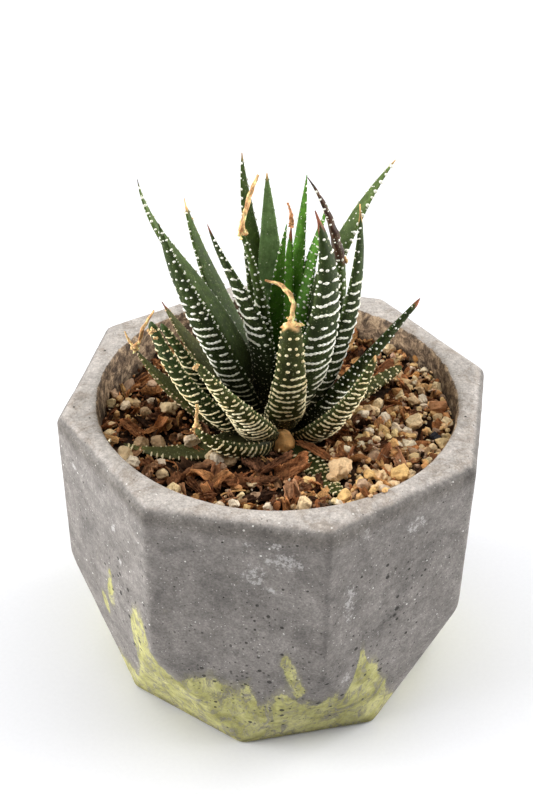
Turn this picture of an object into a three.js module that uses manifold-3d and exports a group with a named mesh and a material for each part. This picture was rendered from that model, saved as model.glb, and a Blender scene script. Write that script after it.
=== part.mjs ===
// Potted haworthia: a zebra-striped rosette succulent in a faceted eight-sided concrete pot.
// Units are millimetres. +Z is up, and the origin is the centre of the pot's flat base.
// The pot's eight walls face 0, 45, 90 ... degrees, and the leaf fan opens towards -Y.

import * as THREE from 'three';
import { mergeVertices } from 'three/addons/utils/BufferGeometryUtils.js';
import { ConvexGeometry } from 'three/addons/geometries/ConvexGeometry.js';
import Module from 'manifold-3d';

const wasm = await Module();
wasm.setup();

// ---------------------------------------------------------------- driving dimensions

const GAP = 0.3;                  // air between two neighbouring pieces
const POT_FLATS = 111;            // across two opposite walls
const POT_HEIGHT = 88;
const POT_SIDES = 8;
const KNEE_HEIGHT = 38.5;         // lower end of the upright edges
const BASE_RADIUS = 49.7;         // corners of the base, turned half a side
const RIM_BEVEL = 3;              // width and height of the rounded rim edge
const EDGE_SOFTEN = 1.1;          // half width of the worn strip on each upright edge
const MOUTH_RADIUS = 49;          // round hole, just below the rim
const MOUTH_ROUND = 1.6;
const FLOOR_RADIUS = 43;
const FLOOR_THICKNESS = 10;
const CAVITY_SEGMENTS = 30;

const SOIL_LEVEL = 79.5;          // at the middle of the pot
const SOIL_SLOPE = 3.2;           // rise at the wall towards SOIL_HIGH_SIDE, fall opposite
const SOIL_HIGH_SIDE = -45;       // degrees
const SOIL_SWELL = 0.8;
const BARK_CHIPS = 42;
const PUMICE_GRAINS = 60;

const PLANT_X = 0.5;              // stem axis
const PLANT_Y = -3;
const STEM_RADIUS = 4.4;
const STEM_BOTTOM = 60;
const STEM_TOP = 99;
const ROOT_COUNT = 5;

const LEAF_LEVEL = 78;            // height that leaf starts are measured from
const LEAF_STEPS = 24;            // integration steps along a centre line
const KEEL = 0.36;                // depth of the rounded back, as a share of the width
const CROWN = 0.1;                // swell of the upper face, as a share of the width
const MIN_HALF_WIDTH = 0.6;
const BAND_HEIGHT = 0.5;          // how far a row of tubercles stands out of the back
const LEAF_SPARE = 0.1;           // added to GAP where a leaf bends between two sections

// ---------------------------------------------------------------- colours

const CONCRETE = new THREE.MeshStandardMaterial({ color: 0x8f8b88, roughness: 0.85, metalness: 0 });
const SOIL = new THREE.MeshStandardMaterial({ color: 0x6b452f, roughness: 0.95, metalness: 0 });
const STEM = new THREE.MeshStandardMaterial({ color: 0x8a7a55, roughness: 0.8, metalness: 0 });
const LEAF = new THREE.MeshStandardMaterial({ color: 0x2f4a2a, roughness: 0.5, metalness: 0 });

// ---------------------------------------------------------------- leaves
// Listed from the heart of the rosette outwards. Angles in degrees, lengths in millimetres.
//   azimuth  compass direction of the leaf's base, 0 along +X, 90 along +Y
//   lean     tilt from upright, at the base and at the tip
//   sway     how far the direction turns from base to tip
//   hook     extra lean that comes in over the outer half
//   start    distance of the leaf's start from the stem axis, rise its height above LEAF_LEVEL
//   roll     turn of the blade about its own length
//   widest   where the blade is widest, as a share of its length
//   blunt    width at the tip as a share of the full width
//   bands    rows of tubercles on the back
//   dry      withered tip, as steps from the tip of the blade

const LEAVES = [
  { name: 'leaf_heart_1', azimuth: 131, start: 1.5, rise: 13, lean: [3, -14], length: 51, width: 6,
    bands: 6 },
  { name: 'leaf_heart_2', azimuth: 80, start: 2, rise: 12, lean: [10, 7], length: 47, width: 5.6, bands: 6,
    dry: [[-0.4, 0.6, 2.4], [-1.3, 1.0, 4.8]] },
  { name: 'leaf_heart_3', azimuth: 210, start: 2, rise: 10, lean: [-3, 20], length: 53, width: 8.5, bands: 7,
    blunt: 0.24, dry: [[0.5, 1.6, 4.4], [1.4, 3.8, 8.6], [3.0, 5.6, 12.6]] },
  { name: 'leaf_heart_4', azimuth: 70, start: 2, rise: 11, lean: [13, 9], length: 60, width: 6.4, bands: 5 },
  { name: 'leaf_heart_5', azimuth: 50, start: 2.5, rise: 9, lean: [6, 22], length: 55, width: 7.6, bands: 6 },
  { name: 'leaf_inner_1', azimuth: 232, start: 3, rise: 7, lean: [-3, 44], length: 65, width: 10, bands: 11,
    sway: -9, hook: -24 },
  { name: 'leaf_inner_2', azimuth: 107, start: 3, rise: 8, lean: [20, 11], length: 61, width: 10.5, bands: 7,
    sway: 8 },
  { name: 'leaf_inner_3', azimuth: 120, start: 3, rise: 7, lean: [16, 22], length: 68, width: 8.6, bands: 6,
    sway: 18, hook: -19 },
  { name: 'leaf_inner_4', azimuth: 24, start: 3, rise: 8, lean: [38, -31], length: 70, width: 9, bands: 8,
    sway: -4 },
  { name: 'leaf_inner_5', azimuth: -36, start: 3.5, rise: 5, lean: [25, -1], length: 68, width: 12,
    bands: 12, widest: 0.35, sway: 5, hook: -28 },
  { name: 'leaf_inner_6', azimuth: 52, start: 3, rise: 6, lean: [14, 39], length: 73, width: 9.6, bands: 8,
    sway: -10, hook: 10 },
  { name: 'leaf_middle_1', azimuth: 169, start: 4, rise: 5, lean: [17, 50], length: 73, width: 9, bands: 8,
    sway: 19, hook: -42 },
  { name: 'leaf_middle_2', azimuth: 145, start: 3.5, rise: 5, lean: [36, 27], length: 61, width: 9, bands: 7,
    sway: 10, hook: -13 },
  { name: 'leaf_middle_3', azimuth: 203, start: 4, rise: 3, lean: [25, 23], length: 68, width: 10.6,
    bands: 12, widest: 0.25, roll: 30, sway: 3, hook: -9 },
  { name: 'leaf_middle_4', azimuth: 41, start: 4, rise: 3, lean: [32, 16], length: 42, width: 7.5, bands: 4,
    sway: 3 },
  { name: 'leaf_middle_5', azimuth: 2, start: 4, rise: 2, lean: [30, -4], length: 70, width: 10.6, bands: 9,
    roll: -20 },
  { name: 'leaf_middle_6', azimuth: 95, start: 4, rise: 3, lean: [42, 30], length: 44, width: 9, bands: 4 },
  { name: 'leaf_outer_1', azimuth: 162, start: 5, rise: 1, lean: [58, 42], length: 42, width: 8, bands: 6,
    sway: -6 },
  { name: 'leaf_outer_2', azimuth: 213, start: 5, rise: 0, lean: [44, 18], length: 49, width: 10, bands: 11,
    roll: 20, blunt: 0.25, sway: 3, hook: 12 },
  { name: 'leaf_outer_3', azimuth: -68, start: 2, rise: 2, lean: [44, -5], length: 46, width: 10.4,
    bands: 14, widest: 0.3, blunt: 0.44, sway: -3, hook: -6,
    dry: [[0.1, 2.6, 3.7], [-1.5, 4.1, 5.6], [-4.0, 5.2, 6.9], [-7.6, 5.6, 7.4]] },
  { name: 'leaf_outer_4', azimuth: 222, start: 5, rise: 0, lean: [55, 13], length: 55, width: 10.2, bands: 12,
    roll: 25, blunt: 0.28, sway: -6, hook: 3 },
  { name: 'leaf_outer_5', azimuth: 4, start: 5, rise: 0, lean: [37, 33], length: 53, width: 11, bands: 10,
    roll: -25, blunt: 0.2, sway: 4, hook: 4 },
  { name: 'leaf_outer_6', azimuth: 62, start: 5, rise: 0, lean: [58, 48], length: 39, width: 9, bands: 4,
    sway: 4 },
  { name: 'leaf_outer_7', azimuth: 126, start: 5, rise: 0, lean: [60, 50], length: 38, width: 9, bands: 4,
    sway: -4 },
  { name: 'leaf_outer_8', azimuth: 264, start: 7, rise: -1, lean: [37, 34], length: 50, width: 9.8,
    bands: 12, widest: 0.3, roll: 20, blunt: 0.28, sway: -46, hook: -4 },
  { name: 'leaf_low_1', azimuth: -34, start: 6.5, rise: -1, lean: [50, 16], length: 43, width: 10,
    bands: 13, widest: 0.3, roll: -25, blunt: 0.2, sway: 30 },
  { name: 'leaf_low_2', azimuth: 194, start: 5.5, rise: -1, lean: [70, 30], length: 43, width: 9.5, bands: 8,
    sway: -6, dry: [[1.5, 0.5, 1.5], [2.3, 2.0, 5.0], [4.8, 4.0, 9.5]] },
  { name: 'leaf_low_3', azimuth: 94, start: 5.5, rise: -1, lean: [72, 62], length: 34, width: 9, bands: 4 },
  { name: 'leaf_low_4', azimuth: 263, start: 8, rise: 1.5, lean: [77, 50], length: 27, width: 10.6, bands: 10,
    roll: 45, blunt: 0.3, sway: -84, dry: [[-0.1, 1.2, 2.2], [-0.2, 3.0, 5.6]] },
  { name: 'leaf_low_5', azimuth: 32, start: 6, rise: 1, lean: [82, 63], length: 33, width: 9, bands: 7,
    blunt: 0.3 },
  { name: 'leaf_low_6', azimuth: 238, start: 6, rise: 4.4, lean: [100, 84], length: 40, width: 9.5, bands: 8,
    sway: -70 },
  { name: 'leaf_low_7', azimuth: -55, start: 6, rise: 3, lean: [93, 81], length: 32, width: 8.5, bands: 8,
    blunt: 0.4 },
  { name: 'leaf_low_8', azimuth: 152, start: 5.5, rise: 0, lean: [80, 66], length: 32, width: 8.5, bands: 4 },
];

// ---------------------------------------------------------------- helpers

const rad = THREE.MathUtils.degToRad;
const lerp = THREE.MathUtils.lerp;
const clamp = THREE.MathUtils.clamp;

function seeded(seed) {
  let state = seed;
  return (low, high) => {
    state = (state * 1664525 + 1013904223) % 4294967296;
    return low + (high - low) * (state / 4294967296);
  };
}

function signedVolume(points, triangles, list) {
  const a = new THREE.Vector3();
  const b = new THREE.Vector3();
  const c = new THREE.Vector3();
  let sum = 0;
  for (const t of list) {
    a.fromArray(points, 3 * triangles[3 * t]);
    b.fromArray(points, 3 * triangles[3 * t + 1]);
    c.fromArray(points, 3 * triangles[3 * t + 2]);
    sum += a.dot(b.cross(c)) / 6;
  }
  return sum;
}

// Merges a geometry's vertices, turns its faces outwards and makes a solid of it.
function solidOf(geometry) {
  const bare = geometry.index ? geometry.clone() : mergeVertices(geometry);
  bare.deleteAttribute('normal');
  bare.deleteAttribute('uv');
  const merged = mergeVertices(bare, 1e-4);
  const points = Float32Array.from(merged.attributes.position.array);
  const triangles = [];
  const index = merged.index.array;
  for (let i = 0; i < index.length; i += 3) {
    const [p, q, r] = [index[i], index[i + 1], index[i + 2]];
    if (p !== q && q !== r && r !== p) triangles.push(p, q, r);
  }
  const all = Array.from({ length: triangles.length / 3 }, (_, i) => i);
  if (signedVolume(points, triangles, all) < 0) triangles.reverse();
  const mesh = new wasm.Mesh({
    numProp: 3,
    vertProperties: points,
    triVerts: Uint32Array.from(triangles),
  });
  return new wasm.Manifold(mesh);
}

// Gives the largest connected body of a solid as a geometry.
function geometryOf(solid) {
  const mesh = solid.getMesh();
  const points = mesh.vertProperties;
  const triangles = mesh.triVerts;
  const parent = Array.from({ length: points.length / 3 }, (_, i) => i);
  const find = (i) => {
    while (parent[i] !== i) {
      parent[i] = parent[parent[i]];
      i = parent[i];
    }
    return i;
  };
  for (let t = 0; t < triangles.length; t += 3) {
    parent[find(triangles[t + 1])] = find(triangles[t]);
    parent[find(triangles[t + 2])] = find(triangles[t]);
  }
  const bodies = new Map();
  for (let t = 0; t < triangles.length / 3; t++) {
    const root = find(triangles[3 * t]);
    if (!bodies.has(root)) bodies.set(root, []);
    bodies.get(root).push(t);
  }
  let best = [];
  let bestVolume = 0;
  for (const list of bodies.values()) {
    const volume = signedVolume(points, triangles, list);
    if (volume > bestVolume) {
      bestVolume = volume;
      best = list;
    }
  }
  const kept = [];
  for (const t of best) kept.push(triangles[3 * t], triangles[3 * t + 1], triangles[3 * t + 2]);
  const geometry = new THREE.BufferGeometry();
  geometry.setAttribute('position', new THREE.BufferAttribute(Float32Array.from(points), 3));
  geometry.setIndex(kept);
  geometry.computeVertexNormals();
  return geometry;
}

function unite(solids) {
  let list = solids;
  while (list.length > 1) {
    const next = [];
    for (let i = 0; i < list.length; i += 2) {
      next.push(i + 1 < list.length ? list[i].add(list[i + 1]) : list[i]);
    }
    list = next;
  }
  return list[0];
}

// Bends a closed cylinder so that each of its rings lies on one cross-section.
// A section has a centre, a width direction, an up direction and its half width, crown and keel.
const SECTION_ANGLES = [0, 90, 180, 240, 300];

function loft(sections) {
  const sides = SECTION_ANGLES.length;
  const rows = sections.length - 1;
  const geometry = new THREE.CylinderGeometry(1, 1, 1, sides, rows);
  const position = geometry.attributes.position;
  const point = new THREE.Vector3();
  for (let i = 0; i < position.count; i++) {
    point.fromBufferAttribute(position, i);
    const section = sections[Math.round((0.5 - point.y) * rows)];
    const result = section.centre.clone();
    if (Math.hypot(point.x, point.z) > 0.5) {
      const turn = Math.atan2(point.x, point.z) / (2 * Math.PI) + 1;
      const angle = rad(SECTION_ANGLES[Math.round(turn * sides) % sides]);
      const depth = Math.sin(angle) > 0 ? section.crown : section.keel;
      result.addScaledVector(section.across, Math.cos(angle) * section.half);
      result.addScaledVector(section.up, Math.sin(angle) * depth);
    }
    position.setXYZ(i, result.x, result.y, result.z);
  }
  return geometry;
}

// ---------------------------------------------------------------- leaf shape

function leafWidth(leaf, s) {
  const blunt = leaf.blunt ?? 0.08;
  const widest = leaf.widest ?? 0.16;
  const flare = lerp(0.72, 1, Math.sqrt(clamp(s / widest, 0, 1)));
  const taper = Math.pow(clamp((s - widest) / (1 - widest), 0, 1), 1.25);
  return leaf.width * flare * lerp(1, blunt, taper);
}

function leafSpine(leaf) {
  const turn = rad(leaf.azimuth);
  const point = new THREE.Vector3(
    PLANT_X + leaf.start * Math.cos(turn),
    PLANT_Y + leaf.start * Math.sin(turn),
    LEAF_LEVEL + leaf.rise,
  );
  const points = [point.clone()];
  for (let i = 0; i < LEAF_STEPS; i++) {
    const s = (i + 0.5) / LEAF_STEPS;
    const direction = leafDirection(leaf, s);
    point.addScaledVector(direction, leaf.length / LEAF_STEPS);
    points.push(point.clone());
  }
  return points;
}

function leafDirection(leaf, s) {
  const bend = Math.pow(clamp(2 * s - 1, 0, 1), 2);
  const lean = rad(lerp(leaf.lean[0], leaf.lean[1], s) + (leaf.hook ?? 0) * bend);
  const azimuth = rad(leaf.azimuth + (leaf.sway ?? 0) * s);
  return new THREE.Vector3(
    Math.sin(lean) * Math.cos(azimuth),
    Math.sin(lean) * Math.sin(azimuth),
    Math.cos(lean),
  );
}

// The sections along a leaf with its rows of tubercles.
function bandedStations(bands) {
  const first = 0.08;
  const last = 0.95;
  const stations = [{ s: 0, raised: 0 }];
  for (let k = 0; k <= bands; k++) {
    stations.push({ s: lerp(first, last, k / bands), raised: 0 });
    if (k < bands) stations.push({ s: lerp(first, last, (k + 0.5) / bands), raised: 1 });
  }
  stations.push({ s: 1, raised: 0 });
  return stations;
}

// With no growth this is the leaf itself, otherwise a smooth skin that keeps its neighbours off.
function leafSections(leaf, grow) {
  const spine = leafSpine(leaf);
  const smooth = [0, 0.08, 0.16, 0.26, 0.38, 0.5, 0.62, 0.74, 0.87, 1];
  const stations = grow > 0 ? smooth.map((s) => ({ s, raised: 1 })) : bandedStations(leaf.bands);
  const sections = stations.map(({ s, raised }) => {
    const along = leafDirection(leaf, s);
    const azimuth = rad(leaf.azimuth + (leaf.sway ?? 0) * s);
    const across = new THREE.Vector3(-Math.sin(azimuth), Math.cos(azimuth), 0);
    across.applyAxisAngle(along, rad(leaf.roll ?? 0));
    const up = along.clone().cross(across);
    const at = clamp(s * LEAF_STEPS, 0, LEAF_STEPS - 1e-6);
    const low = Math.floor(at);
    const centre = spine[low].clone().lerp(spine[low + 1], at - low);
    const width = leafWidth(leaf, s);
    const band = raised * Math.min(BAND_HEIGHT, 0.07 * width);
    const half = Math.max(MIN_HALF_WIDTH, width / 2);
    return {
      centre,
      across,
      up,
      half: half + 0.5 * band + grow,
      crown: Math.max(0.35, CROWN * width) + grow,
      keel: Math.max(0.45, KEEL * width) + band + grow,
    };
  });
  const tip = sections[sections.length - 1];
  const steps = leaf.dry ?? [];
  let before = tip;
  steps.forEach((step, i) => {
    const centre = spine[LEAF_STEPS].clone().add(new THREE.Vector3(...step));
    const along = centre.clone().sub(before.centre).normalize();
    const across = before.across.clone().addScaledVector(along, -before.across.dot(along)).normalize();
    const radius = lerp(0.75, 0.45, (i + 1) / steps.length) + grow;
    before = { centre, across, up: along.clone().cross(across), half: radius, crown: radius, keel: radius };
    sections.push(before);
  });
  if (grow > 0) {
    const end = sections.length - 1;
    const ahead = sections[end].centre.clone().sub(sections[end - 1].centre).normalize();
    const behind = sections[0].centre.clone().sub(sections[1].centre).normalize();
    sections[end].centre.addScaledVector(ahead, grow);
    sections[0].centre.addScaledVector(behind, grow);
  }
  return sections;
}

// ---------------------------------------------------------------- stem with roots

function stemProfile(grow) {
  return [
    [0, STEM_BOTTOM - grow],
    [2.6 + grow, STEM_BOTTOM - grow],
    [STEM_RADIUS + grow, STEM_BOTTOM + 5],
    [STEM_RADIUS + grow, LEAF_LEVEL + 2],
    [3.2 + grow, LEAF_LEVEL + 12],
    [1.6 + grow, STEM_TOP - 1],
    [0.8 + grow, STEM_TOP + grow],
    [0, STEM_TOP + grow],
  ].map(([r, z]) => new THREE.Vector2(r, z));
}

function latheUpright(profile, segments) {
  const geometry = new THREE.LatheGeometry(profile, segments);
  geometry.rotateX(Math.PI / 2);
  return geometry;
}

// A fleshy root that leaves the stem sideways, droops and thins out.
function rootSections(number, grow) {
  const turn = rad(24 + number * 360 / ROOT_COUNT);
  const out = new THREE.Vector3(Math.cos(turn), Math.sin(turn), 0);
  const across = new THREE.Vector3(-Math.sin(turn), Math.cos(turn), 0);
  const rows = 4;
  const sections = [];
  for (let i = 0; i <= rows; i++) {
    const s = i / rows;
    const slope = rad(lerp(35, 72, s));
    const centre = new THREE.Vector3(PLANT_X, PLANT_Y, 65)
      .addScaledVector(out, 1 + 24 * s - 6 * s * s)
      .add(new THREE.Vector3(0, 0, -14 * s - 14 * s * s));
    const along = out.clone().multiplyScalar(Math.cos(slope)).add(new THREE.Vector3(0, 0, -Math.sin(slope)));
    const radius = lerp(1.7, 0.7, s) + grow;
    sections.push({
      centre,
      across,
      up: along.clone().cross(across),
      half: radius,
      crown: radius,
      keel: radius,
    });
  }
  sections[rows].centre.z -= grow;
  return sections;
}

function stemSolid(grow) {
  const trunk = latheUpright(stemProfile(grow), 10);
  trunk.translate(PLANT_X, PLANT_Y, 0);
  const parts = [solidOf(trunk)];
  for (let i = 0; i < ROOT_COUNT; i++) parts.push(solidOf(loft(rootSections(i, grow))));
  return unite(parts);
}

// ---------------------------------------------------------------- pot

function potOutline(radius, height, halfStep) {
  const points = [];
  for (let i = 0; i < POT_SIDES; i++) {
    const turn = rad((i + (halfStep ? 0 : 0.5)) * 360 / POT_SIDES);
    points.push([radius * Math.cos(turn), radius * Math.sin(turn), height]);
  }
  return points;
}

// The corners of one level, each worn to a narrow strip.
function wornOutline(apothem, height) {
  const radius = apothem / Math.cos(Math.PI / POT_SIDES);
  const corners = potOutline(radius, height, false);
  const points = [];
  corners.forEach((corner, i) => {
    for (const other of [corners[(i + 1) % POT_SIDES], corners[(i + POT_SIDES - 1) % POT_SIDES]]) {
      const length = Math.hypot(other[0] - corner[0], other[1] - corner[1]);
      const share = EDGE_SOFTEN / length;
      points.push(new THREE.Vector3(
        lerp(corner[0], other[0], share),
        lerp(corner[1], other[1], share),
        height,
      ));
    }
  });
  return points;
}

function cavityRadius(z) {
  const share = (z - FLOOR_THICKNESS) / (POT_HEIGHT - FLOOR_THICKNESS);
  return lerp(FLOOR_RADIUS, MOUTH_RADIUS, Math.pow(share, 0.8));
}

function potSolid() {
  const wall = POT_FLATS / 2;
  const points = [
    ...potOutline(BASE_RADIUS, 0, true).map((p) => new THREE.Vector3(...p)),
    ...wornOutline(wall, KNEE_HEIGHT),
    ...wornOutline(wall, POT_HEIGHT - RIM_BEVEL),
    ...wornOutline(wall - 0.3 * RIM_BEVEL, POT_HEIGHT - 0.35 * RIM_BEVEL),
    ...wornOutline(wall - RIM_BEVEL, POT_HEIGHT),
  ];
  const outside = solidOf(new ConvexGeometry(points));
  const profile = [
    [0, FLOOR_THICKNESS],
    [FLOOR_RADIUS - 2, FLOOR_THICKNESS],
    [cavityRadius(FLOOR_THICKNESS + 3), FLOOR_THICKNESS + 3],
    [cavityRadius(35), 35],
    [cavityRadius(60), 60],
    [MOUTH_RADIUS, POT_HEIGHT - MOUTH_ROUND],
    [MOUTH_RADIUS + 0.3 * MOUTH_ROUND, POT_HEIGHT - 0.4 * MOUTH_ROUND],
    [MOUTH_RADIUS + MOUTH_ROUND, POT_HEIGHT],
    [MOUTH_RADIUS + MOUTH_ROUND, POT_HEIGHT + 2],
    [0, POT_HEIGHT + 2],
  ].map(([r, z]) => new THREE.Vector2(r, z));
  return outside.subtract(solidOf(latheUpright(profile, CAVITY_SEGMENTS)));
}

// ---------------------------------------------------------------- soil with bark and pumice

function soilHeight(x, y) {
  const radius = Math.hypot(x, y);
  const side = Math.cos(Math.atan2(y, x) - rad(SOIL_HIGH_SIDE));
  const swell = Math.sin(x * 0.31 + 1.3) * Math.cos(y * 0.27 - 0.6);
  return SOIL_LEVEL + SOIL_SLOPE * (radius / MOUTH_RADIUS) * side + SOIL_SWELL * swell;
}

function soilBase() {
  const top = SOIL_LEVEL;
  const reach = cavityRadius(top) - GAP;
  const profile = [[0, FLOOR_THICKNESS + GAP], [FLOOR_RADIUS - 2 - GAP, FLOOR_THICKNESS + GAP]];
  profile.push([cavityRadius(FLOOR_THICKNESS + 3) - GAP, FLOOR_THICKNESS + 3 + GAP]);
  profile.push([cavityRadius(35) - GAP, 35]);
  profile.push([cavityRadius(60) - GAP, 60]);
  profile.push([cavityRadius(72) - GAP, 72]);
  for (const share of [1, 0.8, 0.6, 0.35, 0]) profile.push([reach * share, top]);
  const geometry = latheUpright(profile.map(([r, z]) => new THREE.Vector2(r, z)), CAVITY_SEGMENTS);
  const position = geometry.attributes.position;
  for (let i = 0; i < position.count; i++) {
    if (position.getZ(i) > top - 0.5) position.setZ(i, soilHeight(position.getX(i), position.getY(i)));
  }
  return solidOf(geometry);
}

// Everything in the pot stays this far inside the wall.
function cavityLimit() {
  const profile = [
    [0, FLOOR_THICKNESS + GAP],
    [FLOOR_RADIUS - 2 - GAP, FLOOR_THICKNESS + GAP],
    [cavityRadius(FLOOR_THICKNESS + 3) - GAP, FLOOR_THICKNESS + 3 + GAP],
    [cavityRadius(35) - GAP, 35],
    [cavityRadius(60) - GAP, 60],
    [MOUTH_RADIUS - GAP, POT_HEIGHT - MOUTH_ROUND],
    [MOUTH_RADIUS - GAP, POT_HEIGHT + 4],
    [0, POT_HEIGHT + 4],
  ].map(([r, z]) => new THREE.Vector2(r, z));
  return solidOf(latheUpright(profile, CAVITY_SEGMENTS));
}

function placed(geometry, random, x, y, sink, tilt) {
  const turn = new THREE.Euler(rad(random(-tilt, tilt)), rad(random(-tilt, tilt)), rad(random(0, 360)));
  const spin = new THREE.Quaternion().setFromEuler(turn);
  const place = new THREE.Vector3(x, y, soilHeight(x, y) - sink);
  geometry.applyMatrix4(new THREE.Matrix4().compose(place, spin, new THREE.Vector3(1, 1, 1)));
  return solidOf(geometry);
}

function barkChip(random) {
  const long = random(4, 8);
  const wide = long * random(0.4, 0.75);
  const corners = 4;
  const outline = new THREE.Shape();
  for (let i = 0; i < corners; i++) {
    const turn = rad(i * 360 / corners + random(-16, 16));
    const reach = random(0.8, 1.1);
    const x = long * reach * Math.cos(turn);
    const y = wide * reach * Math.sin(turn);
    if (i === 0) outline.moveTo(x, y);
    else outline.lineTo(x, y);
  }
  outline.closePath();
  const depth = random(1.6, 2.6);
  const geometry = new THREE.ExtrudeGeometry(outline, { depth, bevelEnabled: false, steps: 1 });
  geometry.translate(0, 0, -depth / 2);
  return geometry;
}

function pumiceGrain(random) {
  const geometry = new THREE.OctahedronGeometry(random(1.6, 3), 0);
  geometry.scale(random(0.8, 1.2), random(0.8, 1.2), random(0.7, 1));
  return geometry;
}

// Of a few random places this gives the one farthest from those already taken.
function openPlace(random, taken, reach) {
  let best = null;
  let bestRoom = -1;
  for (let i = 0; i < 8; i++) {
    const radius = reach * Math.sqrt(random(0.03, 1));
    const turn = random(0, 2 * Math.PI);
    const place = [radius * Math.cos(turn), radius * Math.sin(turn)];
    const room = Math.min(99, ...taken.map((other) => Math.hypot(place[0] - other[0], place[1] - other[1])));
    if (room > bestRoom) {
      bestRoom = room;
      best = place;
    }
  }
  taken.push(best);
  return best;
}

function soilSolid() {
  const random = seeded(4127);
  const pieces = [soilBase()];
  const taken = [];
  for (let i = 0; i < BARK_CHIPS; i++) {
    const [x, y] = openPlace(random, taken, 44);
    pieces.push(placed(barkChip(random), random, x, y, -0.3, 20));
  }
  for (let i = 0; i < PUMICE_GRAINS; i++) {
    const [x, y] = openPlace(random, taken, 47);
    pieces.push(placed(pumiceGrain(random), random, x, y, 0.1, 180));
  }
  return unite(pieces).intersect(cavityLimit());
}

// ---------------------------------------------------------------- assembly

const plant = new THREE.Group();

function addNode(name, solid, material) {
  const mesh = new THREE.Mesh(geometryOf(solid), material);
  mesh.name = name;
  plant.add(mesh);
}

addNode('pot', potSolid(), CONCRETE);
addNode('stem_and_roots', stemSolid(0), STEM);

// Each leaf is hollowed where a leaf nearer the heart presses into it, and where the stem stands.
const stemRoom = stemSolid(GAP);
const leafRooms = [];
for (const leaf of LEAVES) {
  let solid = solidOf(loft(leafSections(leaf, 0))).subtract(stemRoom);
  if (leafRooms.length > 0) solid = solid.subtract(unite(leafRooms));
  addNode(leaf.name, solid, LEAF);
  leafRooms.push(solidOf(loft(leafSections(leaf, GAP + LEAF_SPARE))));
}

addNode('soil', soilSolid().subtract(stemRoom).subtract(unite(leafRooms)), SOIL);

export default plant;
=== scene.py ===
import math
from types import SimpleNamespace

import bpy
import numpy as np
from mathutils import Matrix, Vector


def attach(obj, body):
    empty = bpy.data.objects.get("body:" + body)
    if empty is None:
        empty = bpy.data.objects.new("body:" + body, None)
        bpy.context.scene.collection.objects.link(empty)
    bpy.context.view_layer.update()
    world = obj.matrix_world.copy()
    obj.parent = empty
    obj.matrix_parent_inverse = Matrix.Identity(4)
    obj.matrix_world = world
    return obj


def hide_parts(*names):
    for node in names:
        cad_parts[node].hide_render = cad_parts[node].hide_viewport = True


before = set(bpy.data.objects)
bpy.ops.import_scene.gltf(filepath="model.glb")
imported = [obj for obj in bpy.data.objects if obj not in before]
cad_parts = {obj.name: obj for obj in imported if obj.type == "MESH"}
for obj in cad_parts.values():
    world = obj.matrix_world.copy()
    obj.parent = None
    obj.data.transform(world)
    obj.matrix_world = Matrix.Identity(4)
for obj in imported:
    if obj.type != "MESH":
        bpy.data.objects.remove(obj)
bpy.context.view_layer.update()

# Lengths are written in millimetres and turned into metres when a mesh is made.
MM = 0.001

# ---------------------------------------------------------------- driving dimensions

POT_FLATS = 111.0
POT_HEIGHT = 88.0
KNEE_HEIGHT = 38.5
BASE_RADIUS = 49.7
RIM_BEVEL = 3.0
MOUTH_RADIUS = 49.0
MOUTH_ROUND = 1.6
FLOOR_RADIUS = 43.0
FLOOR_THICKNESS = 10.0

SOIL_LEVEL = 79.5
SOIL_SLOPE = 3.2
SOIL_HIGH_SIDE = math.radians(-45)
SOIL_SWELL = 0.8
SOIL_RADIUS = 48.1
SOIL_WALL = [(47.6, 72.0), (46.7, 60.0), (44.7, 35.0), (43.2, 13.3), (40.7, 10.4)]
GRAIN_LIFT = 1.6
# How far grains may stand out from the axis below and above the rim, and how bright they may be.
WALL_REACH = 48.4
RIM_REACH = 55.0
BRIGHTEST = 0.86
BARK_COUNT = 135
CHIP_COUNT = 430
PUMICE_COUNT = 400
GRIT_TRIES = 2700
FIBRE_TRIES = 60

PLANT = (0.5, -3.0, 0.0)
LEAF_LEVEL = 78.0
LEAF_STEPS = 96
KEEL = 0.36
CROWN = 0.1
# The last LOW_COUNT leaves of the list rest on the soil; LOW_START skips the steps at their foot.
LOW_COUNT = 6
LOW_START = 14

LEAF_ROWS, LEAF_COLUMNS = 84, 30
POT_COLUMNS = 448
SOIL_ROWS, SOIL_COLUMNS = 70, 220
STEM_ROWS, STEM_COLUMNS = 60, 32

LEAF_SEED = 500
STEM_SEED = 77
SOIL_SEED = 9001

# The photograph's camera: its side is CAMERA_TURN from the pot's own axes.
CAMERA_TURN = math.radians(10.38)
CAMERA_PLACE = (-2.86, -275.61, 283.64)
CAMERA_PITCH = math.radians(35.708)
CAMERA_ROLL = math.radians(0.524)
FOCAL_PIXELS = 1238.14
PHOTO_WIDTH = 533
PHOTO_HEIGHT = 794

# The floor and the lights are in metres and watts: name, place, target, size, power.
FLOOR_HALF = 9.0
WORLD_STRENGTH = 0.03
LIGHTS = [
    ("top", (0.0, 0.6, 3.75), (0, 0.3, 0), (6.9, 4.5), 216),
    ("left", (-3.3, -0.36, 0.75), (0, 0, 0.08), (2.7, 1.65), 190),
    ("right", (3.3, 0.75, 0.75), (0, 0, 0.08), (2.7, 1.65), 184),
]

# ---------------------------------------------------------------- mesh helpers


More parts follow.
